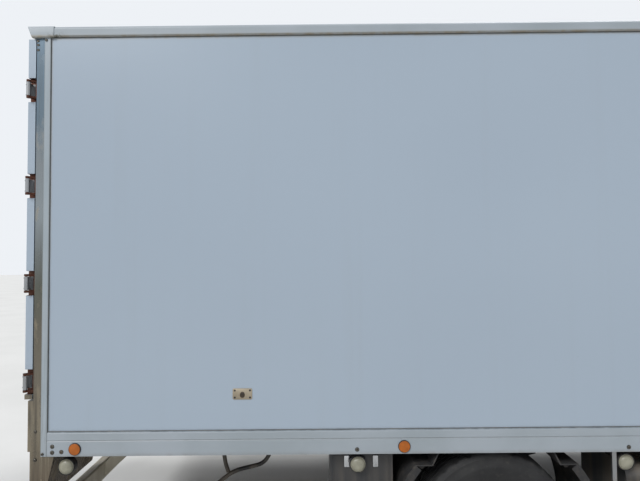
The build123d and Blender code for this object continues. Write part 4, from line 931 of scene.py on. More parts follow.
def back_plates():
    """Brake back plates with their slave cylinders, which don't turn."""
    for side, name in SIDES:
        bm = bmesh.new()
        spun(bm, [(-0.094, 0.101), (-0.094, 0.164), (-0.0905, 0.168), (-0.0905, 0.101)],
            (FRONT_X, middle_y(f"front_tyre_{name}"), WHEEL_Z), (0, side, 0), 40)
        finished(f"back_plate_front_{name}", bm, "cast", f"knuckle_{name}")
        bm = bmesh.new()
        spun(bm, [(-0.206, 0.06), (-0.206, 0.176), (-0.199, 0.18), (-0.199, 0.06)],
            (AXLE_X, middle_y(f"rear_rims_{name}"), WHEEL_Z), (0, side, 0), 40)
        chamber = (AXLE_X + 0.15, side * 0.53, WHEEL_Z + 0.1)
        spun(bm, [(0, 0), (0, 0.045), (0.012, 0.062), (0.055, 0.066), (0.058, 0.074), (0.068, 0.074),
            (0.071, 0.066), (0.115, 0.06), (0.128, 0.04), (0.128, 0)], chamber, (1, 0, 0.15), 28)
        rod(bm, (AXLE_X + 0.05, side * 0.53, WHEEL_Z + 0.09), chamber, 0.01, 10)
        finished(f"back_plate_rear_{name}", bm, "cast", "chassis", 30)


# The cab's outside

FRONT_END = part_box("front_bumper")[1][0]
CAB_ROWS = (  # height, face, half width and corner radius of the cab, ahead of the front axle
    (0.725, 1.085, 1.035, 0.21), (1.29, 1.09, 1.04, 0.22), (2.17, 0.945, 0.99, 0.21),
    (2.285, 0.88, 0.945, 0.19), (2.335, 0.76, 0.85, 0.15),
)
RUBBER_LIP = ((0.022, -0.001), (0.019, 0.006), (0.006, 0.009), (-0.008, 0.004), (-0.01, -0.012))


def cab_level(z):
    """The cab's face, half width and corner radius at a height, and how they change with it."""
    for low, high in zip(CAB_ROWS, CAB_ROWS[1:]):
        if z <= high[0]:
            break
    rise = high[0] - low[0]
    share = (z - low[0]) / rise
    return ([a + (b - a) * share for a, b in zip(low[1:], high[1:])],
        [(b - a) / rise for a, b in zip(low[1:], high[1:])])


def face_point(y, z, off=0):
    """A point on the cab's rounded face, lifted off it by off."""
    (front, half, radius), (front_s, half_s, radius_s) = cab_level(z)
    side = 1 if y >= 0 else -1
    sine = min(1, max(0, (abs(y) - half + radius) / radius))
    cosine = sqrt(1 - sine * sine)
    lean = (front_s - radius_s) * cosine + (half_s - radius_s) * sine + radius_s
    normal = Vector((cosine, side * sine, -lean)).normalized()
    return Vector((FRONT_X + front - radius + radius * cosine, y, z)) + normal * off


def side_point(x, z, side, off=0):
    """A point on the cab's flat side, lifted off it by off."""
    (_, half, _), (_, half_s, _) = cab_level(z)
    return Vector((x, side * half, z)) + Vector((0, side, -half_s)).normalized() * off


def rim_points(corners, grow, steps, cuts):
    """Points round an outline, moved outward by grow.

    The outline is convex, with (u, v, radius) corners, or a rectangle's u0, u1, v0, v1 and radius.
    """
    if not isinstance(corners[0], tuple):
        u0, u1, v0, v1, radius = corners
        corners = ((u0, v0, radius), (u1, v0, radius), (u1, v1, radius), (u0, v1, radius))
    lines = []
    for one, two in zip(corners, corners[1:] + corners[:1]):
        along = (Vector(two[:2]) - Vector(one[:2])).normalized()
        lines.append((Vector(one[:2]) + Vector((along.y, -along.x)) * grow, along))
    arcs = []
    for k, (_, _, corner_r) in enumerate(corners):
        (p, d), (q, e) = lines[k - 1], lines[k]
        gap = q - p
        corner = p + d * ((gap.x * e.y - gap.y * e.x) / (d.x * e.y - d.y * e.x))
        radius = max(0.0005, corner_r + grow)
        turn = d.angle(e)
        centre = corner - d * radius * tan(turn / 2) + Vector((-d.y, d.x)) * radius
        start = atan2(-d.x, d.y)
        arcs.append([centre + radius * Vector((cos(start + turn * n / steps),
            sin(start + turn * n / steps))) for n in range(steps + 1)])
    points = []
    for one, two in zip(arcs, arcs[1:] + arcs[:1]):
        points += one + [one[-1].lerp(two[0], n / cuts) for n in range(1, cuts)]
    return points


def band(bm, corners, place, lip, slot=0, steps=6, cuts=12):
    """A moulding round an outline, made of (grow, lift) rows laid on a surface."""
    rows = [[place(p.x, p.y, lift) for p in rim_points(corners, grow, steps, cuts)] for grow, lift in lip]
    return grid(bm, rows, slot, loop=True)


def pad(bm, corners, place, thick, edge=0.003, slot=0, steps=5):
    """A flat pad with a rounded front edge, laid on a flat surface."""
    lip = ((0, -0.001), (0, thick - edge), (-edge * 0.3, thick - edge * 0.3), (-edge, thick))
    rows = band(bm, corners, place, lip, slot, steps, 1)
    bm.faces.new(rows[-1]).material_index = slot


def patch(bm, u0, u1, v0, v1, place, thick, edge=0.004, slot=0, count=10):
    """A raised rectangle that follows a curved surface."""
    def places(a, b):
        way = edge if b > a else -edge
        inner = [(a + way + (b - a - 2 * way) * n / count, 2) for n in range(count + 1)]
        return [(a, 0), (a, 1), *inner, (b, 1), (b, 0)]

    lifts = (-0.001, thick * 0.6, thick)
    rows = [[place(u, v, lifts[min(i, j)]) for u, i in places(u0, u1)] for v, j in places(v0, v1)]
    grid(bm, rows, slot)


def gaskets():
    """Rubber round the windscreen, the back window and the doors' windows."""
    bm = bmesh.new()
    screen = ((-0.93, 1.345, 0.07), (0.93, 1.345, 0.07), (0.88, 2.12, 0.07), (-0.88, 2.12, 0.07))
    band(bm, screen, face_point, RUBBER_LIP, cuts=28)
    rear = FRONT_X - 0.59
    band(bm, (-0.52, 0.52, 1.56, 1.96, 0.05), lambda y, z, off: Vector((rear - off, y, z)), RUBBER_LIP)
    finished("screen_gaskets", bm, "seal", "cab")
    x = FRONT_X
    window = ((x + 0.095, 1.345, 0.04), (x + 0.795, 1.345, 0.05), (x + 0.675, 2.09, 0.05),
        (x + 0.095, 2.09, 0.04))
    for side, name in SIDES:
        bm = bmesh.new()
        band(bm, window, lambda u, v, off: side_point(u, v, side, off), RUBBER_LIP)
        finished(f"window_gasket_{name}", bm, "seal", f"cab_door_{name}")


def door_details():
    """Handles in their cups, key locks and the flares over the wheels, on the cab's doors."""
    for side, name in SIDES:
        def place(u, v, off):
            return side_point(u, v, side, off)

        x = FRONT_X
        bm = bmesh.new()
        pad(bm, (x + 0.066, x + 0.25, 1.172, 1.244, 0.018), place, 0.0022, 0.0008, 1)
        pad(bm, (x + 0.078, x + 0.222, 1.188, 1.227, 0.01), place, 0.0235, 0.008, 0)
        spun(bm, [(0, 0.011), (0.0045, 0.0105), (0.0055, 0.009), (0.0045, 0.0075), (0.0045, 0)],
            side_point(x + 0.236, 1.205, side, 0.002), (0, side, 0), 20, 2)
        rows = []
        for radius, lift in (
                (0.5635, -0.002), (0.5625, 0.012), (0.57, 0.017), (0.582, 0.016), (0.602, 0.006),
                (0.604, -0.001)):
            row = []
            for k in range(25):
                a = radians(86.5 - 43.5 * k / 24)
                row.append(place(x + radius * cos(a), WHEEL_Z + radius * sin(a), lift))
            rows.append(row)
        grid(bm, rows)
        finished(f"door_details_{name}", bm, "plastic seal chrome", f"cab_door_{name}", 40)


def grille_bars():
    """The grille: a dark mesh behind rounded bars in a moulded surround."""
    bm = bmesh.new()
    whole = (-0.556, 0.556, 0.806, 1.156, 0.022)
    pad(bm, whole, face_point, 0.0016, 0.0005, 1)
    band(bm, whole, face_point, ((0.016, -0.001), (0.014, 0.009), (0.006, 0.015), (-0.004, 0.013),
        (-0.008, 0.001)), 0, 6, 1)
    for n in range(4):
        z = 0.806 + 0.0875 * n
        for up in (0.03, 0.045, 0.06, 0.075):
            pad(bm, (-0.55, 0.55, z + up, z + up + 0.004, 0.0015), face_point, 0.007, 0.001, 1)
        if n:
            pad(bm, (-0.552, 0.552, z - 0.002, z + 0.022, 0.008), face_point, 0.018, 0.007)
    for k in range(-7, 8):
        y = 0.07 * k
        pad(bm, (y - 0.002, y + 0.002, 0.815, 1.15, 0.0015), face_point, 0.0085, 0.001, 1)
    made = finished("grille_bars", bm, "plastic seal", "cab", 40)
    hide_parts("grille")


def cab_lines():
    """Seams of the front lid, the cowl under the windscreen, corner lamps and drip rails."""
    bm = bmesh.new()
    # The lid's seams are dark strips laid on the face in place of gaps: painted shade in the gaps.
    lid = (-0.79, 0.79, 0.765, 1.262, 0.045)
    band(bm, lid, face_point, ((0.0028, -0.0002), (0.002, 0.0004), (-0.002, 0.0004), (-0.0028, -0.0002)), 0,
        8, 6)
    finished("lid_seams", bm, "seal", "cab")
    bm = bmesh.new()
    patch(bm, -0.9, 0.9, 1.2935, 1.3225, face_point, 0.004, 0.0035, 0, 40)
    for k in range(-17, 18):
        if abs(k) > 3:
            y = 0.045 * k
            pad(bm, (y - 0.012, y + 0.012, 1.299, 1.306, 0.002), face_point, 0.0052, 0.0008, 1)
    for side, _ in SIDES:
        patch(bm, side * 0.925, side * 1.02, 1.045, 1.205, face_point, 0.006, 0.004, 2, 12)
        patch(bm, side * 0.931, side * 1.014, 1.052, 1.198, face_point, 0.016, 0.006, 3, 12)
        patch(bm, FRONT_X - 0.53, FRONT_X + 0.73, 2.176, 2.19, lambda u, v,
            off: side_point(u, v, side, off), 0.009, 0.004, 4, 20)
    made = finished("cab_trim", bm, "plastic socket plastic amber cab", "cab", 40)


def wiper_arms():
    """Wipers: a pivot cap, a sprung arm and a framed blade each."""
    bm = bmesh.new()
    x = FRONT_X + 1.0885
    for y in (-0.76, -0.02):
        for x0, x1, y0, y1, z0, z1, bevel, slot in (
                (0.001, 0.006, 0, 0.64, 1.318, 1.331, 0.0015, 1),
                (0.006, 0.013, 0.02, 0.62, 1.32, 1.33, 0.003, 0),
                (0.013, 0.019, 0.12, 0.52, 1.321, 1.329, 0.0025, 0),
                (0.018, 0.026, 0.31, 0.35, 1.316, 1.334, 0.003, 0)):
            block(bm, (x + x0, y + y0, z0), (x + x1, y + y1, z1), bevel, 2, slot)
        arm = [(x + 0.022, y + 0.33, 1.325), (x + 0.024, y + 0.48, 1.318), (x + 0.012, y + 0.615, 1.3)]
        tube(bm, rounded(arm, 0.05, 5), 0.006, 10)
        spun(bm, [(-0.016, 0.017), (0.004, 0.017), (0.012, 0.014), (0.016, 0.008), (0.016, 0)],
            (x, y + 0.615, 1.3), (1, 0, 0.16), 24)
    made = finished("wiper_arms", bm, "plastic seal", "cab", 40)
    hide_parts("wipers")


def mirror_glass():
    """The mirrors' glass with its rim, on the heads' rear faces."""
    bm = bmesh.new()
    place = plane(FRONT_X + 0.91, -1)
    for side, _ in SIDES:
        corners = (side * 1.175 - 0.076, side * 1.175 + 0.076, 1.61, 1.91, 0.028)
        band(bm, corners, place, ((0.004, -0.001), (0.003, 0.006), (-0.004, 0.006), (-0.007, 0.001)), 1, 8,
            1)
        rows = band(bm, corners, place, ((-0.006, 0.002), (-0.03, 0.0035), (-0.055, 0.0042)), 0, 8, 1)
        bm.faces.new(rows[-1])
    made = finished("mirror_glass", bm, "chrome plastic", "cab", 50)


def front_lamps():
    """Headlamps: twin bowls and a turn lamp in a dark tray behind a clear cover."""
    bm = bmesh.new()
    back, face = FRONT_END - 0.05, FRONT_END - 0.004
    y0, y1, z0, z1, wall = 0.6206, 0.9594, 0.4556, 0.5994, 0.004
    steel, tray, amber, bulb = range(4)
    bowl = [(0, 0.01)] + [(0.034 * (k / 12) ** 2, 0.01 + 0.046 * k / 12) for k in range(1, 13)]
    bowl += [(0.036, 0.0595), (0.033, 0.06), (0, 0.06)]
    stem = [(0, 0.01), (0.004, 0.01), (0.004, 0.006), (0.02, 0.006), (0.024, 0.003), (0.024, 0)]
    for side, _ in SIDES:
        for xa, xb, ya, yb, za, zb, slot in (
                (back, face - 0.002, y0, y1, z0, z0 + wall, tray),
                (back, face - 0.002, y0, y1, z1 - wall, z1, tray),
                (back, face - 0.002, y0, y0 + wall, z0, z1, tray),
                (back, face - 0.002, y1 - wall, y1, z0, z1, tray),
                (back, back + wall, y0, y1, z0, z1, tray),
                (back + wall, face - 0.006, 0.8755, 0.8795, z0 + wall, z1 - wall, steel),
                (back + wall, back + 0.008, 0.6246, 0.8755, z0 + wall, z1 - wall, steel)):
            block(bm, (xa, side * ya, za), (xb, side * yb, zb), slot=slot)
        for y in (0.69, 0.811):
            spun(bm, bowl, (back + 0.006, side * y, 0.5275), (1, 0, 0), 48, steel)
            spun(bm, stem, (back + 0.006, side * y, 0.5275), (1, 0, 0), 20, bulb)
        block(bm, (back + 0.004, side * 0.884, z0 + 0.008), (face - 0.01, side * 0.951, z1 - 0.008), 0.004,
            2, amber)
        for k in range(7):
            z = z0 + 0.02 + 0.0175 * k
            block(bm, (face - 0.011, side * 0.888, z - 0.0055), (face - 0.0075, side * 0.947, z + 0.0055),
                0.002, 2, amber)
    made = finished("headlamp_bowls", bm, "chrome plastic amber clear", "chassis", 40)
    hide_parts("headlamps")

    place = plane(face - 0.004)
    bm = bmesh.new()
    for side, _ in SIDES:
        middle = side * 0.79
        corners = (middle - 0.1685, middle + 0.1685, 0.4566, 0.5984, 0.006)
        pad(bm, corners, place, 0.0035, 0.0015)
        rows = band(bm, corners, place, ((0, -0.001), (-0.002, 0.0008)), 0, 5, 1)
        bm.faces.new(list(reversed(rows[-1])))
    made = finished("headlamp_covers", bm, "clear", "chassis", 40)


def bumper_details():
    """The bumper's lower strip, slot mesh and towing lids, and the steps' treads."""
    bm = bmesh.new()
    x = FRONT_END - 0.034
    block(bm, (x - 0.004, -0.436, 0.534), (x, 0.436, 0.626), slot=1)
    for k in range(3):
        z = 0.56 + 0.02 * k
        block(bm, (x, -0.43, z - 0.003), (x + 0.012, 0.43, z + 0.003), 0.0015, 2)
    for k in range(-10, 11):
        block(bm, (x, 0.04 * k - 0.002, 0.54), (x + 0.009, 0.04 * k + 0.002, 0.62), 0.001)
    for side, _ in SIDES:
        for corners, front, profile, steps in (
                ((side * 0.52 - 0.045, side * 0.52 + 0.045, 0.375, 0.435, 0.012), FRONT_END,
                 ((0.0025, -0.001), (0.0018, 0.0005), (-0.0018, 0.0005), (-0.0025, -0.001)), 6),
                ((side * 0.79 - 0.17, side * 0.79 + 0.17, 0.455, 0.6, 0.002), FRONT_END - 0.0035,
                 ((0, -0.03), (-0.0015, -0.002), (-0.006, -0.001), (-0.0075, -0.006)), 2)):
            band(bm, corners, plane(front), profile, 1, steps, 1)
    for side, _ in SIDES:
        for low in (0.43, 0.65):
            for k in range(7):
                a = FRONT_X + 0.604 + 0.0285 * k
                block(bm, (a, side * 0.872, low - 0.001), (a + 0.008, side * 1.022, low + 0.003), 0.0012, 1,
                    1)
    finished("bumper_details", bm, "plastic seal", "chassis", 40)


# Inside the cab

SEAT_Z = 1.18


def applied(piece):
    """Makes what a piece's modifiers give its own mesh."""
    made = bpy.data.meshes.new_from_object(piece.evaluated_get(bpy.context.evaluated_depsgraph_get()))
    piece.modifiers.clear()
    piece.data = made
    return made


def puffed(name, bm, cap, seams):
    """A foam pad, swelled by a cloth simulation in which no point moves further than cap."""
    mesh = bpy.data.meshes.new(name)
    bm.to_mesh(mesh)
    bm.free()
    cushion = bpy.data.objects.new(name, mesh)
    scene = bpy.context.scene
    scene.collection.objects.link(cushion)
    shell = cushion.modifiers.new("shell", "REMESH")
    shell.mode = "VOXEL"
    shell.voxel_size = 0.006 if cap < 0.013 else 0.008
    dense = applied(cushion)
    rest = [v.co.copy() for v in dense.vertices]
    cloth = cushion.modifiers.new("cloth", "CLOTH")
    cloth.settings.use_pressure = True
    cloth.settings.uniform_pressure_force = 4
    cloth.settings.effector_weights.gravity = 0
    cloth.settings.quality = 4
    cloth.point_cache.frame_start, cloth.point_cache.frame_end = 1, 20
    for step in range(1, 21):
        scene.frame_set(step)
    swelled = cushion.evaluated_get(bpy.context.evaluated_depsgraph_get()).data
    moved = [v.co.copy() for v in swelled.vertices]
    cushion.modifiers.clear()
    scene.frame_set(1)
    for vert, start, end in zip(dense.vertices, rest, moved):
        way = end - start
        vert.co = start + way * min(1, cap / max(way.length, 1e-9))
    for vert, normal in zip(dense.vertices, [v.normal.copy() for v in dense.vertices]):
        vert.co -= normal * max(seams(vert.co), 0)
    dense.shade_smooth()
    smooth = cushion.modifiers.new("smooth", "SUBSURF")
    smooth.levels = smooth.render_levels = 1
    applied(cushion)
    return cushion


def groove(distance, deep, wide=0.007):
    """The depth of a sewn channel at a distance from its middle."""
    share = distance / wide
    return deep * max(0, 1 - share * share) if abs(share) < 1 else 0


def seats():
    """Three cloth seats on plastic bases, with pads that a simulation swells."""
    base = bmesh.new()
    for y0, y1 in ((-0.83, -0.31), (-0.18, 0.83)):
        block(base, (FRONT_X - 0.125, y0 + 0.012, SEAT_Z), (FRONT_X + 0.395, y1 - 0.012, SEAT_Z + 0.058),
            0.014, 3)
    lean = Matrix.Translation((FRONT_X - 0.075, 0, SEAT_Z + 0.12)) @ Matrix.Rotation(radians(-10.7), 4, "Y")
    for number, middle in enumerate((-0.57, 0.072, 0.578)):
        half = 0.236 if number else 0.24
        for v in block(base, (-0.118, middle - half + 0.01, -0.02), (-0.1, middle + half - 0.01, 0.485),
                0.008, 3):
            v.co = lean @ v.co
        for y in (-0.055, 0.055):
            rod(base, lean @ Vector((-0.055, middle + y, 0.47)), lean @ Vector((-0.055, middle + y, 0.56)),
                0.007, 12, 1)
        for kind, lo, hi, bevel, cap, place in (
                ("cushion", (FRONT_X - 0.05, middle - half, SEAT_Z + 0.058),
                 (FRONT_X + 0.4, middle + half, SEAT_Z + 0.14), 0.034, 0.014, Matrix.Identity(4)),
                ("back", (-0.098, middle - half + 0.012, 0.01), (-0.012, middle + half - 0.012, 0.48),
                 0.036, 0.014, lean),
                ("rest", (-0.086, middle - 0.125, 0.52), (-0.022, middle + 0.125, 0.64), 0.028, 0.01,
                 lean)):
            border = 0.095 if kind == "rest" else half - 0.085
            start = FRONT_X + 0.175 if kind == "cushion" else 0.245

            def seams(at):
                off = abs(at.y - middle) - border
                if kind == "rest":
                    return groove(off, 0.003)
                if kind == "cushion" and at.z < SEAT_Z + 0.11 or kind == "back" and at.x < -0.05:
                    return 0
                side = groove(off, 0.0055, 0.009)
                if off > 0:
                    return side
                along = (at.x if kind == "cushion" else at.z) - start
                across = min(abs(along - 0.075 * n) for n in range(-2, 3))
                return max(side, groove(across, 0.0045, 0.009))

            bm = bmesh.new()
            block(bm, lo, hi, bevel, 4)
            cushion = puffed(f"seat_{kind}_{number + 1}", bm, cap, seams)
            mesh = cushion.data
            mesh.transform(place)
            mesh.materials.append(SKIN["cloth"])
            mesh.materials.append(SKIN["bolster"])
            for face in mesh.polygons:
                face.material_index = int(abs(face.center.y - middle) > border)
            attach(cushion, "cab")
    frames = finished("seat_bases", base, "trim_dark chrome", "cab", 40)
    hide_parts("seats")


def steering():
    """The steering wheel's padded ring, spokes and hub."""
    hub = Vector((FRONT_X + 0.52, -0.52, 1.64))
    turn = Matrix.Rotation(radians(-38), 4, "Y")
    axis = turn @ Vector((0, 0, 1))
    bm = bmesh.new()
    grip = [(0.0138 * cos(2 * pi * k / 14), 0.212 + 0.0138 * sin(2 * pi * k / 14)) for k in range(14)]
    turns = [2 * pi * n / 96 for n in range(96)]
    rows = [[hub + turn @ Vector((r * cos(a), r * sin(a), h)) for h, r in grip] for a in turns]
    grid(bm, rows, 0, True, True)
    for angle in (90, 210, 330):
        spoke = block(bm, (0.03, -0.017, -0.009), (0.206, 0.017, 0.003), 0.005, 3)
        spin = Matrix.Rotation(radians(angle), 4, "Z")
        for v in spoke:
            v.co.y *= 1.35 - 2.2 * v.co.x
            v.co = hub + turn @ (spin @ v.co)
    spun(bm, [(-0.026, 0), (-0.026, 0.034), (-0.02, 0.046), (0, 0.052), (0.008, 0.05), (0.014, 0.042),
        (0.017, 0.026), (0.018, 0)], hub, axis, 40)
    spun(bm, [(0.0165, 0.03), (0.0185, 0.03), (0.0185, 0.027), (0.0172, 0.026)], hub, axis, 40)
    made = finished("steering_ring", bm, "trim_dark", "steering_wheel", 40)
    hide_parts("steering_wheel")
    bm = bmesh.new()
    down = -axis
    spun(bm, [(0.04, 0), (0.04, 0.03), (0.046, 0.038), (0.15, 0.048), (0.3, 0.052)], hub, down, 32)
    for side in (1, -1):
        start = hub + down * 0.085 + Vector((0, side * 0.03, 0))
        end = start + Vector((0.02, side * 0.135, 0.02))
        tube(bm, [start, start.lerp(end, 0.5), end], 0.0055, 12)
        rod(bm, start.lerp(end, 0.82), end + (end - start).normalized() * 0.012, 0.0085, 14)
    finished("column_cover", bm, "trim_dark", "cab", 40)


def dash_point(y, z, off=0):
    """A point on the dashboard's rear face."""
    return Vector((FRONT_X + 0.67 + 0.2 * (1.35 - z), y, z)) + Vector((-0.981, 0, -0.196)) * off


TICK = Vector((0.0004, 0.0011, 0.0028))


def dash_details():
    """Gauges under a hood, air vents, the middle's controls and the glove box."""
    bm = bmesh.new()
    x = FRONT_X + 0.79
    block(bm, (x, -0.735, 1.335), (x + 0.17, -0.305, 1.462), 0.026, 4)
    block(bm, (x - 0.012, -0.715, 1.345), (x + 0.02, -0.325, 1.446), 0.012, 3, 1)
    for y, z, radius in ((-0.602, 1.397, 0.043), (-0.438, 1.397, 0.043), (-0.52, 1.42, 0.022)):
        at = Vector((x - 0.012, y, z))
        spun(bm, [(0, radius + 0.003), (0.004, radius + 0.003), (0.004, radius), (0.001, radius - 0.001)],
            at, (-1, 0, 0), 36, 2)
        for k in range(11):
            a = radians(225 - 27 * k)
            tick = at + Vector((-0.0012, -cos(a) * (radius - 0.008), sin(a) * (radius - 0.008)))
            block(bm, tick - TICK, tick + TICK, slot=3)
        a = radians(200)
        tip = at + Vector((-0.0022, -cos(a) * radius * 0.75, sin(a) * radius * 0.75))
        rod(bm, at + Vector((-0.0022, 0, 0)), tip, 0.0009, 6, 4)
    for y in (-0.8, -0.235, 0.125, 0.77):
        band(bm, (y - 0.065, y + 0.065, 1.262, 1.325, 0.01), dash_point,
            ((0.006, -0.001), (0.005, 0.004), (-0.001, 0.005), (-0.003, 0.0005)), 1, 5, 1)
        pad(bm, (y - 0.064, y + 0.064, 1.263, 1.324, 0.009), dash_point, 0.0008, 0.0003, 1)
        for k in range(4):
            z = 1.272 + 0.0135 * k
            pad(bm, (y - 0.06, y + 0.06, z, z + 0.004, 0.001), dash_point, 0.0035, 0.001, 1)
    pad(bm, (-0.165, 0.055, 1.12, 1.245, 0.012), dash_point, 0.006, 0.003, 1)
    pad(bm, (-0.145, 0.035, 1.198, 1.236, 0.004), dash_point, 0.0085, 0.002, 1)
    for k in range(5):
        y = -0.13 + 0.026 * k
        pad(bm, (y, y + 0.019, 1.203, 1.21, 0.002), dash_point, 0.0105, 0.001, 0)
    for y in (-0.125, -0.055, 0.015):
        spun(bm, [(0.004, 0.018), (0.018, 0.016), (0.021, 0.013), (0.021, 0)], dash_point(y, 1.155),
            (-0.981, 0, -0.196), 24, 0)
        block(bm, dash_point(y - 0.0012, 1.158, 0.02), dash_point(y + 0.0012, 1.17, 0.022), slot=3)
    band(bm, (0.23, 0.69, 1.118, 1.245, 0.015), dash_point,
        ((0.002, -0.001), (0.0015, 0.0005), (-0.0015, 0.0005), (-0.002, -0.001)), 1, 6, 1)
    pad(bm, (0.425, 0.495, 1.216, 1.234, 0.006), dash_point, 0.007, 0.003, 1)
    finished("dash_details", bm, "trim_dark seal chrome pearl red", "cab", 40)


def tilted(verts, at, angle):
    """Turns corners about Y and moves them to a point."""
    turn = Matrix.Rotation(radians(angle), 3, "Y")
    for v in verts:
        v.co = at + turn @ v.co


def cab_controls():
    """Pedals, the gear and parking brake levers, sun visors and door trims."""
    bm = bmesh.new()
    x = FRONT_X
    dark, rubber, bright, pale = range(4)
    at = Vector((x + 0.395, -0.245, SEAT_Z))
    spun(bm, [(0, 0.052), (0.012, 0.05), (0.022, 0.038), (0.032, 0.04), (0.044, 0.028), (0.052, 0.03),
        (0.066, 0.018), (0.08, 0.012)], at, (0, 0, 1), 28, dark)
    stalk = [at + Vector(p) for p in ((0, 0, 0.06), (0, 0, 0.27), (-0.07, 0, 0.37))]
    tube(bm, rounded(stalk, 0.12, 8), 0.0075, 12, bright)
    spun(bm, [(-0.024, 0.01), (-0.014, 0.018), (0.006, 0.025), (0.02, 0.022), (0.027, 0.012), (0.028, 0)],
        at + Vector((-0.075, 0, 0.378)), (-0.5, 0, 0.86), 28, dark)
    low = Vector((x + 0.02, -0.245, SEAT_Z + 0.02))
    block(bm, low - Vector((0.06, 0.028, 0.02)), low + Vector((0.1, 0.028, 0.035)), 0.01, 3)
    rod(bm, low + Vector((0.04, 0, 0.02)), low + Vector((0.2, 0, 0.12)), 0.008, 12, bright)
    rod(bm, low + Vector((0.14, 0, 0.0825)), low + Vector((0.24, 0, 0.145)), 0.0145, 16)
    for ahead, y, z, wide, tall in (
            (0.88, -0.405, 1.015, 0.034, 0.026), (0.88, -0.525, 1.015, 0.034, 0.026),
            (0.905, -0.65, 0.965, 0.026, 0.06)):
        at = Vector((x + ahead, y, z))
        tilted(block(bm, (-0.008, -wide, -tall), (0.008, wide, tall), 0.004, 2, rubber), at, 32)
        for k in range(4):
            rib = -tall * 0.7 + tall * 0.45 * k
            made = block(bm, (-0.0105, -wide + 0.004, rib), (-0.007, wide - 0.004, rib + 0.004), 0.001, 1,
                rubber)
            tilted(made, at, 32)
        tube(bm, [at + Vector(p) for p in ((0.006, 0, 0), (0.055, 0, 0.035), (0.07, 0, 0.12))], 0.0065, 10,
            bright)
    for y in (-0.5, 0.5):
        top = Vector((x + 0.825, y, 2.105))
        block(bm, top - Vector((0.155, 0.2, 0.01)), top + Vector((0, 0.2, 0.008)), 0.007, 3, pale)
        for side in (-1, 1):
            rod(bm, top + Vector((-0.006, side * 0.17, 0)), top + Vector((0.004, side * 0.21, 0)), 0.006,
                10)
    finished("cab_controls", bm, "trim_dark rubber chrome liner", "cab", 40)
    for side, name in SIDES:
        def place(u, v, off):
            return side_point(u, v, side, -0.0555 - off)

        bm = bmesh.new()
        for corners, height, edge, slot in (
                (((x + 0.15, 1.01, 0.03), (x + 0.33, 0.96, 0.03), (x + 0.79, 0.96, 0.03),
                 (x + 0.79, 1.3, 0.02), (x + 0.09, 1.3, 0.02), (x + 0.09, 1.06, 0.03)), 0.005, 0.002, 0),
                ((x + 0.14, x + 0.74, 1.17, 1.275, 0.02), 0.01, 0.004, 1),
                ((x + 0.23, x + 0.6, 1.12, 1.158, 0.016), 0.044, 0.012, 0),
                ((x + 0.64, x + 0.735, 1.215, 1.245, 0.008), 0.012, 0.003, 2)):
            pad(bm, corners, place, height, edge, slot)
        hub = place(x + 0.3, 1.06, 0.006)
        spun(bm, [(0, 0.022), (0.01, 0.02), (0.013, 0.015), (0.013, 0)], hub, (0, -side, 0), 24, 2)
        for a, b, radius, steps in (
                ((0, -0.01, 0), (0.095, -0.016, 0.03), 0.0055, 10),
                ((0.095, -0.014, 0.03), (0.095, -0.044, 0.03), 0.0095, 14)):
            start, end = (hub + Vector((p[0], p[1] * side, p[2])) for p in (a, b))
            rod(bm, start, end, radius, steps, 2)
        finished(f"door_trim_{name}", bm, "trim bolster trim_dark", f"cab_door_{name}", 40)


# The load space, the lock gear and the underside


def load_space():
    """Scuff boards, lashing rails and ceiling lamps inside the box."""
    bm = bmesh.new()
    x0, x1 = PANEL_LO[0] + 0.006, PANEL_HI[0] - 0.006
    board, bright, slit, lamp = range(4)
    for side, _ in SIDES:
        y = side * (SIDE_Y - 0.06)
        block(bm, (x0, y, 1.102), (x1, y - side * 0.012, 1.395), 0.003, 2, board)
        for z in (1.72, 2.32):
            block(bm, (x0, y, z - 0.06), (x1, y - side * 0.004, z + 0.06), 0.001, 1, bright)
            for low in (z - 0.052, z + 0.038):
                block(bm, (x0, y - side * 0.004, low), (x1, y - side * 0.011, low + 0.014), 0.003, 2,
                    bright)
            for k in range(int((x1 - x0) / 0.15)):
                x = x0 + 0.09 + 0.15 * k
                block(bm, (x, y - side * 0.0038, z - 0.026), (x + 0.018, y - side * 0.0046, z + 0.026),
                    slot=slit)
        for k in range(18):
            x = x0 + 0.12 + (x1 - x0 - 0.24) * k / 17
            for z in (1.14, 1.355):
                rivet(bm, (x, y - side * 0.0115, z), (0, -side, 0), 0.007, 0.003, 10, bright)
    for x in (x0 + 1.1, x1 - 1.1):
        spun(bm, [(0, 0.085), (0.012, 0.084), (0.016, 0.076), (0.03, 0.066), (0.042, 0.045), (0.046, 0)],
            (x, 0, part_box("box_roof")[0][2]), (0, 0, -1), 36, lamp)
    finished("load_space_fittings", bm, "floor galvanised seal pearl", "chassis", 40)


def door_fasteners():
    """Rivets of the lock gear's brackets and of the hinges, on the rear doors."""
    for side, name in SIDES:
        bm = bmesh.new()
        for at, size in islands(f"lock_gear_{name}"):
            if 0.03 < size.z <= 0.5:
                for v in (-1, 1):
                    rivet(bm, (REAR_X - 0.0075, at.y, at.z + v * (size.z / 2 - 0.008)), (-1, 0, 0), 0.0052,
                        0.003, 12)
        for at, _ in HINGES:
            if at.y * side > 0:
                for z in (-0.02, 0.02):
                    rivet(bm, (REAR_X - 0.0002, side * (SIDE_Y - 0.045), at.z + z), (-1, 0, 0), 0.0065,
                        0.004, 12, 1)
        finished(f"door_fasteners_{name}", bm, "steel hinge", f"rear_door_{name}")


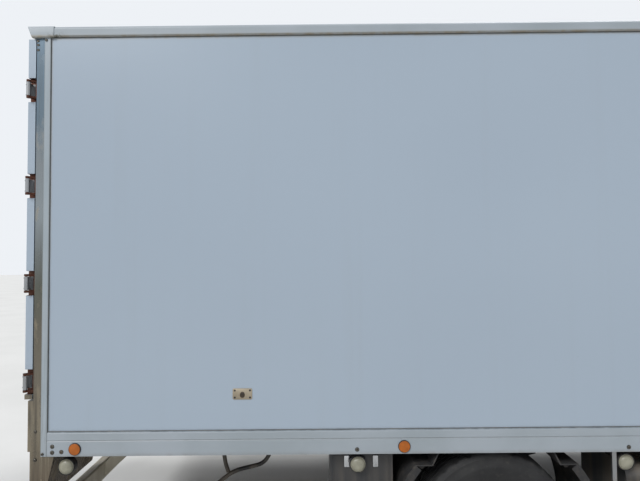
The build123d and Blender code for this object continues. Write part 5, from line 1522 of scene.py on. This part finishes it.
def underside():
    """Spring bolts, shock absorbers, brake pipes and a Y-shaped hanger under the floor."""
    bm = bmesh.new()
    for side, _ in SIDES:
        for x, y, reach in ((FRONT_X, 0.385, 0.06), (AXLE_X, 0.455, 0.075)):
            for end in (-1, 1):
                for across in (-0.042, 0.042):
                    a = Vector((x + end * reach, side * y + across, 0.3))
                    rod(bm, a, a + Vector((0, 0, 0.245)), 0.009, 10)
                    bolt(bm, a, (0, 0, -1), 0.013, 0.012)
        for x, y, reach in ((FRONT_X - 0.16, 0.3, -0.14), (AXLE_X + 0.22, 0.33, 0.2)):
            low, high = Vector((x, side * y, 0.35)), Vector((x + reach, side * 0.365, 0.7))
            rod(bm, low, low.lerp(high, 0.62), 0.034, 20)
            rod(bm, low.lerp(high, 0.5), low.lerp(high, 0.85), 0.042, 20, 1)
            rod(bm, low.lerp(high, 0.8), high, 0.012, 12)
        for z in (0.7, 0.72):
            tube(bm, [(REAR_X + 0.35, side * 0.4235, z), (FRONT_X - 0.35, side * 0.4235, z)], 0.0035, 8, 1)
    y, tail = -0.4225, REAR_X + 0.95
    for run in (
            ((tail + 0.27, y, 0.625), (tail + 0.2, y, 0.495), (tail, y - 0.02, 0.455),
             (tail - 0.12, y - 0.03, 0.365), (tail - 0.14, y - 0.03, 0.33)),
            ((tail - 0.07, y, 0.625), (tail - 0.055, y, 0.5), (tail - 0.03, y - 0.02, 0.448))):
        tube(bm, rounded(run, 0.05, 5), 0.013, 12, 1)
    finished("spring_bolts", bm, "cast chassis", "chassis", 40)


def tank_fittings():
    """The tank's cap and strap bolts, and the tool box's lid and latches."""
    bm = bmesh.new()
    x = REAR_X + 3.125
    cap = Vector((x + 0.79, -0.96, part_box("fuel_tank")[1][2]))
    spun(bm, [(-0.012, 0.047), (0.002, 0.047), (0.006, 0.043), (0.006, 0.02), (0.016, 0.018),
        (0.018, 0.014), (0.018, 0)], cap, (0, 0, 1), 32, 0)
    for k in range(12):
        a = radians(30 * k)
        at = cap + Vector((0.0465 * cos(a), 0.0465 * sin(a), -0.004))
        rod(bm, at - Vector((0, 0, 0.006)), at + Vector((0, 0, 0.005)), 0.0025, 6, 0)
    for start in (x + 0.15, x + 0.74):
        for z in (0.4, 0.62):
            bolt(bm, (start + 0.03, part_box("fuel_tank")[0][1] - 0.0002, z), (0, -1, 0), 0.007, 0.006, 1)
    x0, x1, z0, z1 = AXLE_X - 0.855, AXLE_X - 0.525, 0.47, 0.8

    def place(u, v, off):
        return Vector((u, -1.03 - off, v))

    band(bm, (x0 + 0.018, x1 - 0.018, z0 + 0.018, z1 - 0.018, 0.012), place,
        ((0.004, -0.001), (0.003, 0.003), (-0.001, 0.004), (-0.004, 0.003)), 2, 5, 1)
    for u in (x0 + 0.09, x1 - 0.09):
        pad(bm, (u - 0.014, u + 0.014, z1 - 0.075, z1 - 0.015, 0.005), place, 0.01, 0.003, 1)
        pad(bm, (u - 0.018, u + 0.018, z0 + 0.004, z0 + 0.02, 0.003), place, 0.008, 0.002, 1)
    finished("tank_and_box_fittings", bm, "plastic steel box_dark", "chassis", 40)


screws()
eave_caps()
sealant()
catch_plates()
reflectors()
lamp_domes()
notch_liners()
door_seals()
tail_lenses()
tyres()
wheel_fittings()
back_plates()
gaskets()
door_details()
grille_bars()
cab_lines()
wiper_arms()
mirror_glass()
front_lamps()
bumper_details()
steering()
dash_details()
cab_controls()
load_space()
door_fasteners()
underside()
tank_fittings()
seats()


# Camera, light and floor


def stage():
    """A pale floor and backdrop, soft light, and the camera where the photographer stood."""
    scene = bpy.context.scene
    scene.view_settings.view_transform = "Standard"
    world = bpy.data.worlds.new("sky")
    scene.world = world
    world.use_nodes = True
    nodes, join = world.node_tree.nodes, world.node_tree.links.new
    lit, shown = nodes["Background"], nodes.new("ShaderNodeBackground")
    for sky, colour, power in ((lit, (0.93, 0.96, 1, 1), 0.38), (shown, (0.9, 0.93, 0.97, 1), 0.95)):
        sky.inputs["Color"].default_value = colour
        sky.inputs["Strength"].default_value = power
    rays = nodes.new("ShaderNodeLightPath").outputs
    seen = rays["Is Camera Ray"]
    for other in ("Is Glossy Ray", "Is Transmission Ray"):
        most = nodes.new("ShaderNodeMath")
        most.operation = "MAXIMUM"
        join(seen, most.inputs[0])
        join(rays[other], most.inputs[1])
        seen = most.outputs[0]
    mixed = nodes.new("ShaderNodeMixShader")
    for n, source in enumerate((seen, lit.outputs[0], shown.outputs[0])):
        join(source, mixed.inputs[n])
    join(mixed.outputs[0], nodes["World Output"].inputs["Surface"])

    def put(name, data):
        made = bpy.data.objects.new(name, data)
        scene.collection.objects.link(made)
        return made

    for name, power, spread, toward in (
            ("key", 2, 24, (-0.42, -0.64, 0.64)), ("top", 1.7, 30, (0.4, 0.24, 0.89))):
        light = bpy.data.lights.new(name, "SUN")
        light.energy = power
        light.angle = radians(spread)
        put(name, light).rotation_euler = Vector(toward).to_track_quat("Z", "Y").to_euler()

    bm = bmesh.new()
    bmesh.ops.create_grid(bm, x_segments=1, y_segments=1, size=60)
    mesh = bpy.data.meshes.new("ground")
    bm.to_mesh(mesh)
    bm.free()
    pale = Shader("ground_skin", 0.85)
    tone = pale.mix(pale.noise(0.8, 4).ramp(0.3, 0.7), (0.6, 0.6, 0.59), (0.64, 0.64, 0.63))
    pale.set("Base Color", tone)
    mesh.materials.append(pale.material)
    ground = put("ground", mesh)

    camera = bpy.data.cameras.new("camera")
    camera.sensor_width = 36
    camera.lens = 27.28
    camera.clip_start, camera.clip_end = 0.05, 200
    eye = put("camera", camera)
    eye.location = (REAR_X + 1.531, -SIDE_Y - 2.512, 1.818)
    eye.rotation_euler = Euler((radians(90 + 2.07), radians(0.56), radians(0.17)))
    scene.camera = eye


stage()
